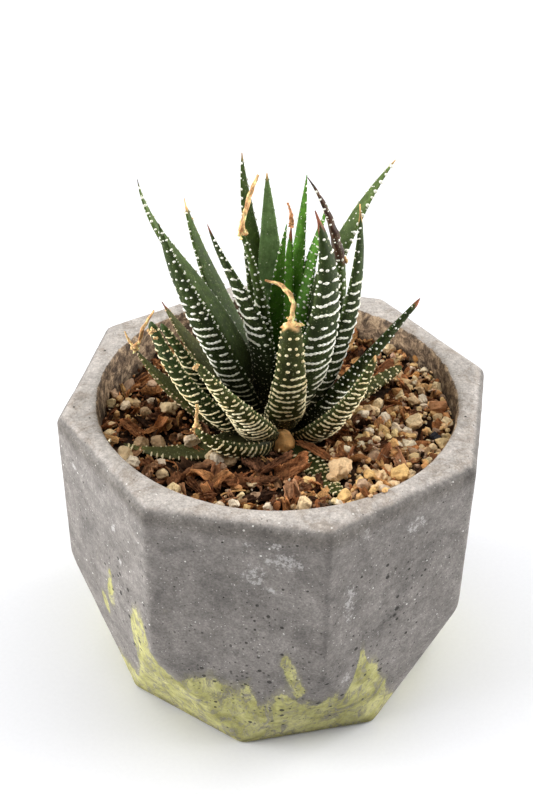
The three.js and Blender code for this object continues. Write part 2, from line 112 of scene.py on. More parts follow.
def make_piece(name, points, faces, material, node, smooth=True, colors=None):
    """Makes a mesh of points (mm) and groups of equal-sized faces; colors holds point colours by name."""
    mesh = bpy.data.meshes.new(name)
    faces = [group.astype(np.int32) for group in faces]
    sizes = np.concatenate([np.full(len(group), group.shape[1], dtype=np.int32) for group in faces])
    mesh.vertices.add(len(points))
    mesh.vertices.foreach_set("co", (points * MM).ravel())
    mesh.loops.add(int(sizes.sum()))
    mesh.loops.foreach_set("vertex_index", np.concatenate([group.ravel() for group in faces]))
    mesh.polygons.add(len(sizes))
    mesh.polygons.foreach_set("loop_start", (np.cumsum(sizes) - sizes).astype(np.int32))
    mesh.polygons.foreach_set("loop_total", sizes)
    mesh.polygons.foreach_set("use_smooth", np.full(len(sizes), smooth))
    mesh.materials.append(material)
    mesh.update(calc_edges=True)
    for key, values in (colors or {}).items():
        layer = mesh.color_attributes.new(name=key, type="FLOAT_COLOR", domain="POINT")
        rgba = np.ones((len(points), 4), dtype=np.float32)
        rgba[:, :3] = values
        layer.data.foreach_set("color", rgba.ravel())
    obj = bpy.data.objects.new(name, mesh)
    bpy.context.scene.collection.objects.link(obj)
    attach(obj, "root")
    if node:
        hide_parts(node)


def closed_tube(rings, first, last):
    """A tube of closed rings with a middle point at each end: its points, quads and end triangles."""
    rows, columns = rings.shape[:2]
    total = rows * columns
    c = np.arange(columns)
    nxt = (c + 1) % columns
    low = np.arange(rows - 1)[:, None] * columns
    quads = np.stack([low + c, low + nxt, low + columns + nxt, low + columns + c], -1).reshape(-1, 4)
    start = np.stack([nxt, c, np.full(columns, total)], -1)
    end = np.stack([total - columns + c, total - columns + nxt, np.full(columns, total + 1)], -1)
    return np.vstack([rings.reshape(-1, 3), first, last]), quads, np.vstack([start, end])


def around(columns):
    return np.linspace(0, 2 * math.pi, columns, endpoint=False)


def polar(radius, angle, z):
    """Points this far from the axis in this direction."""
    return np.stack(np.broadcast_arrays(radius * np.cos(angle), radius * np.sin(angle), z), -1)


def normalised(v):
    return v / np.maximum(np.linalg.norm(v, axis=-1, keepdims=True), 1e-9)


def smoothstep(low, high, x):
    t = np.clip((x - low) / (high - low), 0, 1)
    return t * t * (3 - 2 * t)


def blend(a, b, share):
    return np.asarray(a) * (1 - share) + np.asarray(b) * share


def wave_noise(points, scale, seed):
    """Cheap smooth noise between -1 and 1: a sum of sine waves in seeded directions."""
    rng = np.random.default_rng(seed)
    total = np.zeros(points.shape[:-1])
    for _ in range(6):
        direction = normalised(rng.normal(size=3))
        phase = rng.uniform(0, 2 * math.pi)
        total += np.sin(points @ direction * scale * rng.uniform(0.6, 1.7) + phase)
    return total / 3.2


def turned(x, y, z=0.0):
    """Turns a place or direction from the photograph's side into the pot's axes."""
    c, s = math.cos(CAMERA_TURN), math.sin(CAMERA_TURN)
    return np.array([x * c - y * s, x * s + y * c, z])


def view_axes():
    """The camera's right, up and back directions."""
    right = np.array([1.0, 0.0, 0.0])
    up = np.array([0.0, math.sin(CAMERA_PITCH), math.cos(CAMERA_PITCH)])
    c, s = math.cos(CAMERA_ROLL), math.sin(CAMERA_ROLL)
    axes = [right * c + up * s, up * c - right * s]
    return [turned(*v) for v in (*axes, np.cross(*axes))]


VIEW_PLACE = turned(*CAMERA_PLACE)
VIEW_AXES = view_axes()


# ---------------------------------------------------------------- node helpers


class Nodes:
    """Builds a material's node tree with short calls."""

    def __init__(self, name):
        self.material = bpy.data.materials.new(name)
        self.material.use_nodes = True
        self.tree = self.material.node_tree
        self.tree.nodes.clear()
        output = self.tree.nodes.new("ShaderNodeOutputMaterial")
        self.shader = self.tree.nodes.new("ShaderNodeBsdfPrincipled")
        self.tree.links.new(self.shader.outputs["BSDF"], output.inputs["Surface"])
        self.coords = self.add("TexCoord", "Object", {})

    def fill(self, node, inputs):
        """Inputs are given by name or number, and each is a value or another node's output."""
        for key, value in inputs.items():
            socket = node.inputs[key]
            if isinstance(value, bpy.types.NodeSocket):
                self.tree.links.new(value, socket)
            else:
                socket.default_value = (*value, 1) if socket.type == "RGBA" else value

    def add(self, kind, output, inputs, **settings):
        node = self.tree.nodes.new("ShaderNode" + kind)
        for key, value in settings.items():
            setattr(node, key, value)
        self.fill(node, inputs)
        return node.outputs[output]

    def noise(self, scale, detail=4.0, rough=0.55, stretch=None, vector=None, warp=0.0):
        vector = vector or self.coords
        if stretch:
            vector = self.add("Mapping", "Vector", {"Vector": vector, "Scale": stretch})
        return self.add("TexNoise", "Fac", {"Scale": scale, "Detail": detail, "Roughness": rough,
                                            "Distortion": warp, "Vector": vector})

    def cells(self, scale, output="Distance"):
        return self.add("TexVoronoi", output, {"Scale": scale, "Vector": self.coords})

    def grains(self, scale, rare, reach, wider=None):
        """Round spots of random sizes: none below the share 'rare', up to 'reach' cells wide."""
        size = self.remap(self.split(self.cells(scale, "Color"))[0], rare, 1.0, 0.0, reach)
        if wider is not None:
            size = self.times(size, wider)
        return self.remap(self.math("SUBTRACT", self.cells(scale), size), 0.012, -0.014)

    def ramp(self, value, *stops):
        """Stops are (position, colour or grey)."""
        color = self.add("ValToRGB", "Color", {"Fac": value})
        elements = color.node.color_ramp.elements
        while len(elements) < len(stops):
            elements.new(0.5)
        for element, (position, tint) in zip(elements, stops):
            element.position = position
            element.color = (*(tint if isinstance(tint, tuple) else (tint, tint, tint)), 1)
        return color

    def remap(self, value, low, high, to_low=0.0, to_high=1.0):
        return self.add("MapRange", "Result", {"Value": value, "From Min": low, "From Max": high,
                                               "To Min": to_low, "To Max": to_high},
                        interpolation_type="SMOOTHSTEP")

    def math(self, operation, a, b):
        return self.add("Math", "Value", {0: a, 1: b}, operation=operation)

    def times(self, a, b):
        return self.math("MULTIPLY", a, b)

    def plus_noise(self, value, noise, strength):
        """Adds noise that swings to both sides of nothing."""
        return self.math("ADD", value, self.times(self.math("SUBTRACT", noise, 0.5), strength))

    def mix(self, factor, a, b, blend="MIX"):
        return self.add("Mix", 2, {0: factor, 6: a, 7: b}, data_type="RGBA", blend_type=blend)

    def paint(self, color, where, strength, over, blend="MIX"):
        return self.mix(self.times(where, strength), color, over, blend)

    def vary(self, color, strength, pattern, *stops):
        """Makes the colour darker and paler along a pattern."""
        return self.mix(strength, color, self.ramp(pattern, *stops), "MULTIPLY")

    def attribute(self, name, output="Color"):
        return self.add("Attribute", output, {}, attribute_name=name)

    def split(self, color):
        return self.add("SeparateColor", "Red", {"Color": color}).node.outputs

    def bump(self, height, strength, distance, normal=None):
        inputs = {"Strength": strength, "Distance": distance, "Height": height}
        if normal is not None:
            inputs["Normal"] = normal
        return self.add("Bump", "Normal", inputs)

    def finish(self, color, roughness, normal, specular=0.5, scatter=0.0, reach=0.05):
        self.fill(self.shader, {"Base Color": color, "Roughness": roughness, "Specular IOR Level": specular,
                                "Subsurface Weight": scatter, "Subsurface Scale": reach})
        if normal is not None:
            self.fill(self.shader, {"Normal": normal})
        return self.material


# ---------------------------------------------------------------- materials


def concrete_material():
    """'pot_marks' holds growth, brown tide marks and rim; the wear colour holds pits, scuffs, and a dark
    stripe under the rim with painted shade on the lower facets and foot.
    """
    n = Nodes("concrete")
    stain, inner, rim = n.split(n.attribute("pot_marks"))
    pitted, scuffed, damp_and_shade = n.split(n.attribute("pot_wear_and_shade"))
    mottled = n.noise(240, 8, 0.68)
    fine = n.noise(1700, 5, 0.75)
    crisp = n.noise(620, 6, 0.8)
    color = n.ramp(n.noise(70, 8, 0.7, warp=0.6), (0.34, (0.14, 0.129, 0.119)), (0.5, (0.19, 0.174, 0.16)),
                   (0.66, (0.236, 0.218, 0.201)))
    # The rim is rubbed paler, with brown smudges.
    color = n.paint(color, rim, 0.66, (0.61, 0.558, 0.512))
    smudge = n.times(rim, n.remap(n.noise(130, 7, 0.75, warp=0.6), 0.44, 0.62))
    color = n.paint(color, smudge, 0.6, (0.27, 0.22, 0.175))
    color = n.vary(color, 0.42, mottled, (0.36, 0.6), (0.5, 1.0), (0.66, 1.45))
    color = n.vary(color, 0.3, n.noise(900, 6, 0.7), (0.38, 0.62), (0.5, 1.0), (0.64, 1.5))
    color = n.vary(color, 0.5, fine, (0.36, 0.55), (0.64, 1.5))
    # White scuffs and grains of sand.
    color = n.paint(color, n.remap(n.plus_noise(scuffed, crisp, 3.2), 0.6, 1.0), 0.5, (0.62, 0.6, 0.58))
    color = n.paint(color, n.grains(480, 0.6, 0.13), 0.8, (0.8, 0.78, 0.74))
    color = n.paint(color, n.grains(1050, 0.3, 0.2), 0.5, (0.66, 0.63, 0.6))
    # Dark pits, more of them where 'pitted' is high: painted shade in the small holes.
    pores = n.times(n.grains(680, 0.25, 0.26, pitted), 0.75)
    holes = n.math("MAXIMUM", n.grains(330, 0.2, 0.22, pitted), pores)
    color = n.paint(color, holes, 0.9, (0.035, 0.032, 0.028))
    # Yellow-green growth brushed over the lower facets.
    field = n.plus_noise(stain, n.noise(210, 5, 0.6, stretch=(1, 1, 0.6), warp=1.4), 0.9)
    field = n.plus_noise(field, n.noise(1000, 5, 0.75, stretch=(1, 1, 0.45)), 0.7)
    green = n.ramp(n.noise(120, 6, 0.65, warp=0.8), (0.36, (0.25, 0.237, 0.077)), (0.5, (0.41, 0.392, 0.138)),
                   (0.64, (0.55, 0.523, 0.23)))
    green = n.vary(green, 0.6, crisp, (0.3, 0.6), (0.7, 1.3))
    thin = n.remap(n.noise(260, 8, 0.8, stretch=(1, 1, 0.5), warp=1.5), 0.38, 0.54, 0.1, 0.95)
    film = n.times(n.remap(field, 0.1, 0.5), 0.14)
    cover = n.math("MAXIMUM", film, n.times(n.remap(field, 0.42, 0.62), thin))
    color = n.paint(color, cover, n.math("SUBTRACT", 1.0, n.times(holes, 0.9)), green)
    # Darker by the third wear channel: a dark stripe under the rim, and painted shade on the lower facets and
    # the foot.
    color = n.paint(color, damp_and_shade, 0.7, (0.42, 0.39, 0.33), "MULTIPLY")
    # Brown mineral tide marks inside the mouth.
    tide = n.remap(n.plus_noise(inner, n.noise(170, 8, 0.75, stretch=(1, 1, 0.5), warp=1.0), 1.3), 0.42, 0.6)
    brown = n.ramp(n.noise(380, 7, 0.75, warp=0.5), (0.38, (0.05, 0.033, 0.022)),
                   (0.48, (0.17, 0.115, 0.074)), (0.56, (0.42, 0.3, 0.19)), (0.68, (0.7, 0.54, 0.37)))
    color = n.paint(color, tide, 0.96, brown)
    normal = n.bump(fine, 0.3, 0.0003)
    normal = n.bump(mottled, 0.32, 0.0005, normal)
    normal = n.bump(n.ramp(holes, (0.0, 1.0), (1.0, 0.0)), 0.9, 0.0008, normal)
    normal = n.bump(n.ramp(cover, (0.0, 0.0), (1.0, 1.0)), 0.25, 0.0003, normal)
    return n.finish(color, n.remap(mottled, 0.3, 0.7, 0.95, 0.8), normal, 0.3)


def leaf_material():
    """The vertex colour 'skin' holds the leaf's own green."""
    n = Nodes("leaf_skin")
    mottled = n.noise(420, 6, 0.66)
    streaks = n.noise(1100, 5, 0.66, stretch=(1, 1, 0.22))
    color = n.vary(n.attribute("skin"), 0.7, mottled, (0.34, 0.55), (0.5, 1.0), (0.68, 1.5))
    color = n.vary(color, 0.55, streaks, (0.34, 0.65), (0.5, 1.0), (0.68, 1.45))
    # Pale pores, fine as dust.
    pores = n.times(n.grains(1700, 0.1, 0.36), n.remap(mottled, 0.4, 0.6, 0.35, 1.0))
    color = n.paint(color, pores, 0.36, (0.4, 0.42, 0.22))
    normal = n.bump(mottled, 0.4, 0.0005, n.bump(n.noise(2600, 4), 0.25, 0.00018))
    return n.finish(color, n.remap(mottled, 0.3, 0.7, 0.48, 0.66), normal, 0.14, 0.04, 0.002)


def tubercle_material(name, dark, pale):
    """The vertex colour 'shade' is painted shade that makes them duller near the leaf's foot."""
    n = Nodes("tubercle_" + name)
    mottled = n.noise(1500, 4, 0.6)
    color = n.ramp(n.noise(300, 3, 0.5), (0.35, dark), (0.6, pale))
    color = n.vary(color, 0.4, mottled, (0.3, 0.78), (0.62, 1.06))
    color = n.mix(1.0, color, n.attribute("shade"), "MULTIPLY")
    return n.finish(color, n.remap(mottled, 0.3, 0.7, 0.6, 0.42), n.bump(mottled, 0.25, 0.00015), 0.35)


def dry_material():
    n = Nodes("dried_tip")
    streaks = n.noise(1400, 5, 0.65)
    folds = n.remap(n.noise(380, 4, 0.6), 0.52, 0.38, 0.0, 0.75)
    color = n.mix(folds, n.attribute("skin"), (0.42, 0.17, 0.05))
    color = n.vary(color, 0.7, streaks, (0.34, 0.5), (0.66, 1.5))
    return n.finish(color, 0.72, n.bump(streaks, 0.6, 0.0004), 0.5, 0.08, 0.001)


def stem_material():
    n = Nodes("stem_bark")
    rings = n.noise(700, 5, 0.6, stretch=(0.3, 0.3, 1))
    color = n.ramp(rings, (0.3, (0.1, 0.075, 0.04)), (0.7, (0.33, 0.26, 0.15)))
    return n.finish(color, 0.8, n.bump(rings, 0.6, 0.0006))


def bark_material():
    """Vertex colour 'tint' is the chip's own brown, 'grain' its direction of fibre."""
    n = Nodes("bark")
    fibre = n.noise(5.0, 5, 0.65, vector=n.attribute("grain", "Vector"), warp=0.6)
    blotch = n.noise(420, 6, 0.66)
    fine = n.noise(2300, 4, 0.7)
    color = n.vary(n.attribute("tint"), 0.7, fibre, (0.32, 0.34), (0.5, 0.92), (0.68, 1.5))
    color = n.vary(color, 0.75, blotch, (0.34, 0.3), (0.5, 0.95), (0.66, 1.5))
    color = n.vary(color, 0.4, fine, (0.3, 0.5), (0.7, 1.4))
    normal = n.bump(fibre, 1.0, 0.0007, n.bump(fine, 0.5, 0.0003))
    return n.finish(color, n.remap(blotch, 0.3, 0.7, 0.95, 0.75), normal, 0.1)


def grain_material():
    """Pumice, gravel and grit."""
    n = Nodes("pumice")
    fine = n.noise(2600, 4, 0.7)
    color = n.vary(n.attribute("tint"), 0.7, n.noise(480, 4, 0.6), (0.34, 0.6), (0.5, 0.95), (0.66, 1.1))
    color = n.vary(color, 0.35, fine, (0.3, 0.6), (0.7, 1.1))
    color = n.paint(color, n.remap(n.noise(650, 5, 0.65), 0.55, 0.68), 0.45, (0.2, 0.11, 0.055))
    return n.finish(color, 0.8, n.bump(fine, 0.4, 0.0003, n.bump(n.cells(1500), 0.35, 0.0004)), 0.12)


def soil_material():
    n = Nodes("soil_fill")
    clod = n.noise(420, 7, 0.7)
    grit = n.noise(1800, 5, 0.7)
    color = n.ramp(clod, (0.3, (0.012, 0.007, 0.004)), (0.52, (0.042, 0.021, 0.011)),
                   (0.72, (0.12, 0.06, 0.03)))
    color = n.vary(color, 0.5, grit, (0.3, 0.5), (0.7, 1.5))
    return n.finish(color, 0.95, n.bump(clod, 0.9, 0.0015, n.bump(grit, 0.8, 0.0006)), 0.15)


CONCRETE = concrete_material()
LEAF = leaf_material()
BEADS = {name: tubercle_material(name, dark, pale) for name, dark, pale in (
    ("white", (0.86, 0.85, 0.68), (0.97, 0.96, 0.85)), ("cream", (0.8, 0.64, 0.33), (0.96, 0.86, 0.56)),
    ("tan", (0.6, 0.4, 0.22), (0.86, 0.68, 0.44)), ("green", (0.2, 0.27, 0.12), (0.42, 0.48, 0.28)))}
DRY = dry_material()
STEM = stem_material()
BARK = bark_material()
GRAIN = grain_material()
SOIL = soil_material()

# ---------------------------------------------------------------- leaves

DARK, OLIVE, MID = (0.023, 0.037, 0.008), (0.032, 0.038, 0.0075), (0.042, 0.068, 0.013)
YOUNG, PALE, DULL = (0.062, 0.17, 0.014), (0.07, 0.105, 0.028), (0.06, 0.062, 0.018)
BLUISH, BLACKISH = (0.11, 0.175, 0.062), (0.021, 0.033, 0.008)
# Colours at the leaves' foot: the blade's is partly its own brown and partly painted shade, the tubercles'
# factor is painted shade.
FOOT_BROWN_AND_SHADE = (0.013, 0.0115, 0.004)
FOOT_SHADE = (0.36, 0.3, 0.16)
TIP_RED, TIP_TAN, TIP_BROWN = (0.2, 0.07, 0.035), (0.72, 0.42, 0.17), (0.055, 0.026, 0.013)
DRY_TAN, DRY_RED = (0.93, 0.56, 0.24), (0.72, 0.34, 0.15)


class Leaf(SimpleNamespace):
    """One leaf; angles in degrees, lengths in millimetres.

    azimuth, start, rise, lean, length, width, widest, blunt, sway, hook, roll, dry: as in the part's source,
                 the centre line, the blade and the withered thread; fork is the thread's second branch
    full         makes a sharp blade keep its width for longer
    pitch, bead  distance between rows of tubercles, and their radius
    fine, bands  shares of the length up to which the rows are fine specks, then bands; the rest are dots,
                 'big' times as large
    tone         the tubercles' colour
    back, face   colours of the back and of the upper face
    face_dots    scattered tubercles a row on the upper face
    face_rows    tubercles a row that stand in lines there, after the share 'face_from'
    tooth, tick  size and length of the margins' teeth; they stand 'tick_in' inwards
    end, end_at  colour of the withered end and the share of the length where it starts; it swells by 'swell'
    scabs        corky spots: (share of the length, angle round the blade, radius)
    """

    widest, blunt, full, sway, hook, roll = 0.16, 0.04, 1.55, 0, 0, 0
    dry, fork, dry_color, thread = (), (), DRY_TAN, 0.72
    fine, big, tone = 0.08, 1, "white"
    face_dots, face_rows, face_from = 0.1, 0, 0.2
    tooth, tick, tick_in = 0.95, 1.2, 0.0
    end, end_at, swell, scabs = None, 1.0, -0.2, ()

    def __init__(self, name, azimuth, start, rise, lean, length, width, pitch, bands, bead, back, face=None,
                 **more):
        super().__init__(name="leaf_" + name, azimuth=azimuth, start=start, rise=rise, lean=lean,
                         length=length, width=width, pitch=pitch, bands=bands, bead=bead, back=back,
                         face=face or back, **more)


# From the heart of the rosette outwards.
LEAVES = [
    Leaf("heart_1", 131, 1.5, 13, (3, -14), 51, 6, 2.4, 0, 0.2, YOUNG, tooth=1.4, face_dots=0.8),
    Leaf("heart_2", 80, 2, 12, (10, 7), 47, 5.6, 2.4, 0, 0.18, YOUNG, end=TIP_RED, end_at=0.9,
         dry=((-0.4, 0.6, 2.4), (-1.3, 1.0, 4.8)), dry_color=DRY_RED),
    Leaf("heart_3", 210, 2, 10, (-3, 20), 53, 8.5, 2.3, 0.6, 0.28, MID, blunt=0.24,
         dry=((0.5, 1.6, 4.4), (1.4, 3.8, 8.6), (3.0, 5.6, 12.6)), thread=0.9),
    Leaf("heart_4", 70, 2, 11, (13, 9), 60, 6.4, 2.4, 0, 0.18, YOUNG, tooth=1.6, face_dots=0.6),
    Leaf("heart_5", 50, 2.5, 9, (6, 22), 55, 7.6, 2.0, 0, 0.27, YOUNG, face_rows=3, face_from=0.15),
    Leaf("inner_1", 232, 3, 7, (-3, 44), 65, 10, 3.1, 0.97, 0.33, BLACKISH, MID, sway=-9, hook=-24, fine=0.38,
         end=TIP_RED, end_at=0.97),
    Leaf("inner_2", 107, 3, 8, (20, 11), 61, 10.5, 2.6, 0, 0.2, BLUISH, sway=8, tone="green", face_dots=1.6,
         end=TIP_TAN, end_at=0.985),
    Leaf("inner_3", 120, 3, 7, (16, 22), 68, 8.6, 2.3, 0.1, 0.24, MID, sway=18, hook=-19, face_dots=0.9,
         end=TIP_TAN, end_at=0.985, tooth=1.5),
    Leaf("inner_4", 24, 3, 8, (38, -31), 70, 9, 2.4, 0.3, 0.3, MID, sway=-4, full=1.8, end=TIP_BROWN,
         end_at=0.65, scabs=((0.645, 250, 0.8), (0.66, 300, 0.6)), swell=0.1),
    Leaf("inner_5", -36, 3.5, 5, (25, -1), 68, 12, 2.8, 0.9, 0.31, DARK, MID, widest=0.35, sway=5, hook=-28,
         fine=0.12, end=TIP_RED, end_at=0.94),
    Leaf("inner_6", 52, 3, 6, (14, 39), 73, 9.6, 2.4, 0, 0.3, MID, PALE, sway=-10, hook=10, face_dots=1.0,
         end=TIP_TAN, end_at=0.985, tooth=1.5),
    Leaf("middle_1", 169, 4, 5, (17, 50), 73, 9, 2.3, 0.2, 0.28, MID, PALE, sway=19, hook=-42, face_dots=0.6,
         end=TIP_BROWN, end_at=0.98, tooth=1.2),
    Leaf("middle_2", 145, 3.5, 5, (36, 27), 61, 9, 2.5, 0.1, 0.28, MID, sway=10, hook=-13, tooth=1.2,
         end=TIP_TAN, end_at=0.95, scabs=((0.9, 190, 0.5), (0.94, 340, 0.4))),
    Leaf("middle_3", 203, 4, 3, (25, 23), 68, 10.6, 2.3, 0.66, 0.29, DARK, MID, widest=0.25, roll=30, sway=3,
         hook=-9, fine=0.06, full=1.9),
    Leaf("middle_4", 41, 4, 3, (32, 16), 42, 7.5, 2.4, 0, 0.24, MID, sway=3, end=TIP_RED, end_at=0.88),
    Leaf("middle_5", 2, 4, 2, (30, -4), 70, 10.6, 2.5, 0.72, 0.28, DARK, MID, roll=-20, fine=0.1, end=TIP_TAN,
         end_at=0.95),
    Leaf("middle_6", 95, 4, 3, (42, 30), 44, 9, 2.2, 0.5, 0.34, MID, DULL),
    Leaf("outer_1", 162, 5, 1, (58, 42), 42, 8, 1.9, 0.3, 0.24, DULL, sway=-6, tone="tan", face_dots=0.8,
         end=TIP_RED, end_at=0.95),
    Leaf("outer_2", 213, 5, 0, (44, 18), 49, 10, 1.9, 0.95, 0.25, DARK, MID, roll=20, blunt=0.25, sway=3,
         hook=12, fine=0.25, tone="cream"),
    Leaf("outer_3", -68, 2, 2, (44, -5), 46, 10.4, 2.0, 0.7, 0.28, OLIVE, MID, widest=0.3, blunt=0.44,
         sway=-3, hook=-6, fine=0.32, tone="cream", big=1.12, end=DRY_TAN, end_at=0.965, thread=0.85,
         dry=((0.1, 2.6, 3.7), (-1.5, 4.1, 5.6), (-4.0, 5.2, 6.9), (-7.6, 5.6, 7.4))),
    Leaf("outer_4", 222, 5, 0, (55, 13), 55, 10.2, 2.1, 0.94, 0.25, DARK, MID, roll=25, blunt=0.28, sway=-6,
         hook=3, fine=0.2, tone="cream", scabs=((0.96, 250, 0.75), (0.975, 300, 0.6), (0.93, 300, 0.5))),
    Leaf("outer_5", 4, 5, 0, (37, 33), 53, 11, 2.2, 0.4, 0.27, DARK, MID, roll=-25, blunt=0.2, sway=4, hook=4,
         fine=0.25, end=TIP_RED, end_at=0.965),
    Leaf("outer_6", 62, 5, 0, (58, 48), 39, 9, 2.1, 0.5, 0.34, MID, DULL, sway=4, tone="cream"),
    Leaf("outer_7", 126, 5, 0, (60, 50), 38, 9, 2.1, 0.5, 0.34, MID, DULL, sway=-4, tone="cream"),
    Leaf("outer_8", 264, 7, -1, (37, 34), 50, 9.8, 1.7, 0.92, 0.27, OLIVE, MID, widest=0.3, roll=20,
         blunt=0.28, sway=-46, hook=-4, fine=0.27, tone="cream", scabs=((0.98, 250, 0.7), (0.99, 290, 0.6))),
    Leaf("low_1", -34, 6.5, -1, (50, 16), 43, 10, 1.6, 0.9, 0.27, OLIVE, MID, widest=0.3, roll=-25, blunt=0.2,
         sway=30, fine=0.18, tone="cream", end=TIP_TAN, end_at=0.985),
    Leaf("low_2", 194, 5.5, -1, (70, 30), 43, 9.5, 1.8, 0.2, 0.26, DULL, sway=-6, tone="tan", face_dots=0.5,
         dry=((1.5, 0.5, 1.5), (2.3, 2.0, 5.0), (4.8, 4.0, 9.5)), fork=((-1.4, 0.4, 1.6), (-2.6, 1.0, 4.0))),
    Leaf("low_3", 94, 5.5, -1, (72, 62), 34, 9, 2.0, 0.6, 0.34, OLIVE, DULL, tone="cream"),
    Leaf("low_4", 263, 8, 1.5, (77, 50), 27, 10.6, 1.4, 0.95, 0.24, OLIVE, roll=45, blunt=0.3, sway=-84,
         tone="cream", dry=((-0.1, 1.2, 2.2), (-0.2, 3.0, 5.6)), thread=0.9),
    Leaf("low_5", 32, 6, 1, (82, 63), 33, 9, 1.9, 0.2, 0.3, DULL, blunt=0.3, tone="cream", face_rows=3),
    Leaf("low_6", 238, 6, 4.4, (100, 84), 40, 9.5, 1.7, 0.5, 0.25, DULL, sway=-70, tone="cream",
         face_dots=0.3, tick=2.6, tick_in=0.3, tooth=1.0),
    Leaf("low_7", -55, 6, 3, (93, 81), 32, 8.5, 1.6, 0.3, 0.3, OLIVE, blunt=0.4, tone="cream", face_rows=4,
         face_from=0.35),
    Leaf("low_8", 152, 5.5, 0, (80, 66), 32, 8.5, 2.0, 0.6, 0.34, OLIVE, DULL, tone="cream"),
]


def direction(leaf, s):
    """Where the centre line heads at the stations s."""
    bend = np.clip(2 * s - 1, 0, 1) ** 2
    lean = np.radians(leaf.lean[0] + (leaf.lean[1] - leaf.lean[0]) * s + leaf.hook * bend)
    return polar(np.sin(lean), np.radians(leaf.azimuth + leaf.sway * s), np.cos(lean))


def spine(leaf):
    turn = math.radians(leaf.azimuth)
    start = np.array([PLANT[0] + leaf.start * math.cos(turn), PLANT[1] + leaf.start * math.sin(turn),
                      LEAF_LEVEL + leaf.rise])
    moves = direction(leaf, (np.arange(LEAF_STEPS) + 0.5) / LEAF_STEPS) * leaf.length / LEAF_STEPS
    return np.vstack([start, start + np.cumsum(moves, axis=0)])


def width_at(leaf, s):
    sharp = leaf.blunt <= 0.1
    flare = 0.72 + 0.28 * np.sqrt(np.clip(s / leaf.widest, 0, 1))
    taper = np.clip((s - leaf.widest) / (1 - leaf.widest), 0, 1) ** (leaf.full if sharp else 1.25)
    close = 1.0 if sharp else np.sqrt(np.clip((1.004 - s) / 0.03, 0.0, 1))
    return leaf.width * flare * (1 + (leaf.blunt - 1) * taper) * close


def leaf_axes(leaf, s):
    """Centre, width direction and up direction at the stations s."""
    line = spine(leaf)
    at = np.clip(s, 0, 1) * (len(line) - 1)
    low = np.minimum(at.astype(int), len(line) - 2)
    along = direction(leaf, s)
    turn = np.radians(leaf.azimuth + leaf.sway * s)
    across = np.stack([-np.sin(turn), np.cos(turn), np.zeros_like(turn)], -1)
    roll = math.radians(leaf.roll)
    across = across * math.cos(roll) + np.cross(along, across) * math.sin(roll)
    return blend(line[low], line[low + 1], (at - low)[..., None]), across, np.cross(along, across)


def leaf_surface(leaf, s, phi):
    """Points of the skin at stations s and angles phi (0 and pi are the margins, pi / 2 is up)."""
    s, phi = np.broadcast_arrays(np.asarray(s, dtype=float), np.asarray(phi, dtype=float))
    centre, across, up = leaf_axes(leaf, s)
    width = width_at(leaf, s)
    half = np.maximum(width / 2, 0.12)
    crown = np.maximum(CROWN * width, 0.12)
    keel = np.maximum(KEEL * width, 0.14)
    sine = np.sin(phi)
    bulge = np.where(sine < 0, -keel * np.abs(sine) ** 0.9, crown * sine)
    hollow = np.where(sine > 0, -0.5 * crown * smoothstep(0.6, 1.0, sine) * (1 - s), 0)
    uneven = 1 + 0.02 * np.sin(s * 23 + leaf.azimuth) + 0.015 * np.sin(s * 57 + 2 * phi)
    sideways, upwards = np.cos(phi) * half * uneven, (bulge + hollow) * uneven
    return centre + across * sideways[..., None] + up * upwards[..., None]


def leaf_normal(leaf, s, phi):
    e = 1e-3
    a = leaf_surface(leaf, s + e, phi) - leaf_surface(leaf, s - e, phi)
    b = leaf_surface(leaf, s, phi + e) - leaf_surface(leaf, s, phi - e)
    return normalised(np.cross(b, a))


def leaf_body(leaf, rng):
    stations, angles = np.meshgrid(np.linspace(0, 1, LEAF_ROWS) ** 0.95, around(LEAF_COLUMNS), indexing="ij")
    points = leaf_surface(leaf, stations, angles)
    s, sine = stations[..., None], np.sin(angles)[..., None]
    back, face = np.array(leaf.back), np.array(leaf.face)
    color = back + (face - back) * smoothstep(-0.15, 0.15, sine)
    color = color * (1 + 0.16 * wave_noise(points, 0.35, int(rng.integers(1e6)))[..., None])
    # The foot is brownish and darkened, partly its own colour and partly painted shade deep in the rosette;
    # the tip and the margins are a little paler.
    color = blend(color, FOOT_BROWN_AND_SHADE, smoothstep(0.46, 0.06, s) * 0.93)
    color = color * (1 + 0.45 * smoothstep(0.45, 1.0, s))
    color = color * (1 + 0.35 * smoothstep(0.25, 0.0, np.abs(sine)))
    if leaf.end:
        ragged = leaf.end_at + 0.012 * np.sin(angles * 3 + leaf.azimuth)[..., None]
        mask = smoothstep(ragged - 0.012, ragged + 0.008, s)
        color = blend(color, np.array(leaf.end) * (1 + 0.5 * wave_noise(points, 1.6, 8)[..., None]), mask)
        centre = leaf_axes(leaf, stations)[0]
        shrink = 1 + mask * (leaf.swell + 0.1 * np.sin(stations * 90 + 2 * angles)[..., None])
        points = centre + (points - centre) * shrink
    tip = np.array([1.0])
    last = leaf_axes(leaf, tip)[0][0] + direction(leaf, tip)[0] * 0.25
    points, *faces = closed_tube(points, points[0].mean(0), last)
    colors = np.clip(np.vstack([color.reshape(-1, 3), color[0].mean(0), color[-1].mean(0)]), 0, 1)
    make_piece(leaf.name + "_blade", points, faces, LEAF, leaf.name, colors={"skin": colors})


def worm(path, normals, radius, flat=0.8, sides=7):
    """A knobbly closed tube along a path that lies on the skin."""
    tangent = normalised(np.gradient(path, axis=0))
    side = normalised(np.cross(normals, tangent))
    angle = around(sides)[None, :, None]
    ring = side[:, None, :] * np.cos(angle) + normals[:, None, :] * flat * np.sin(angle)
    first, last = path[0] - tangent[0] * radius[0] * 0.5, path[-1] + tangent[-1] * radius[-1] * 0.5
    return closed_tube(path[:, None, :] + ring * radius[:, None, None], first, last)


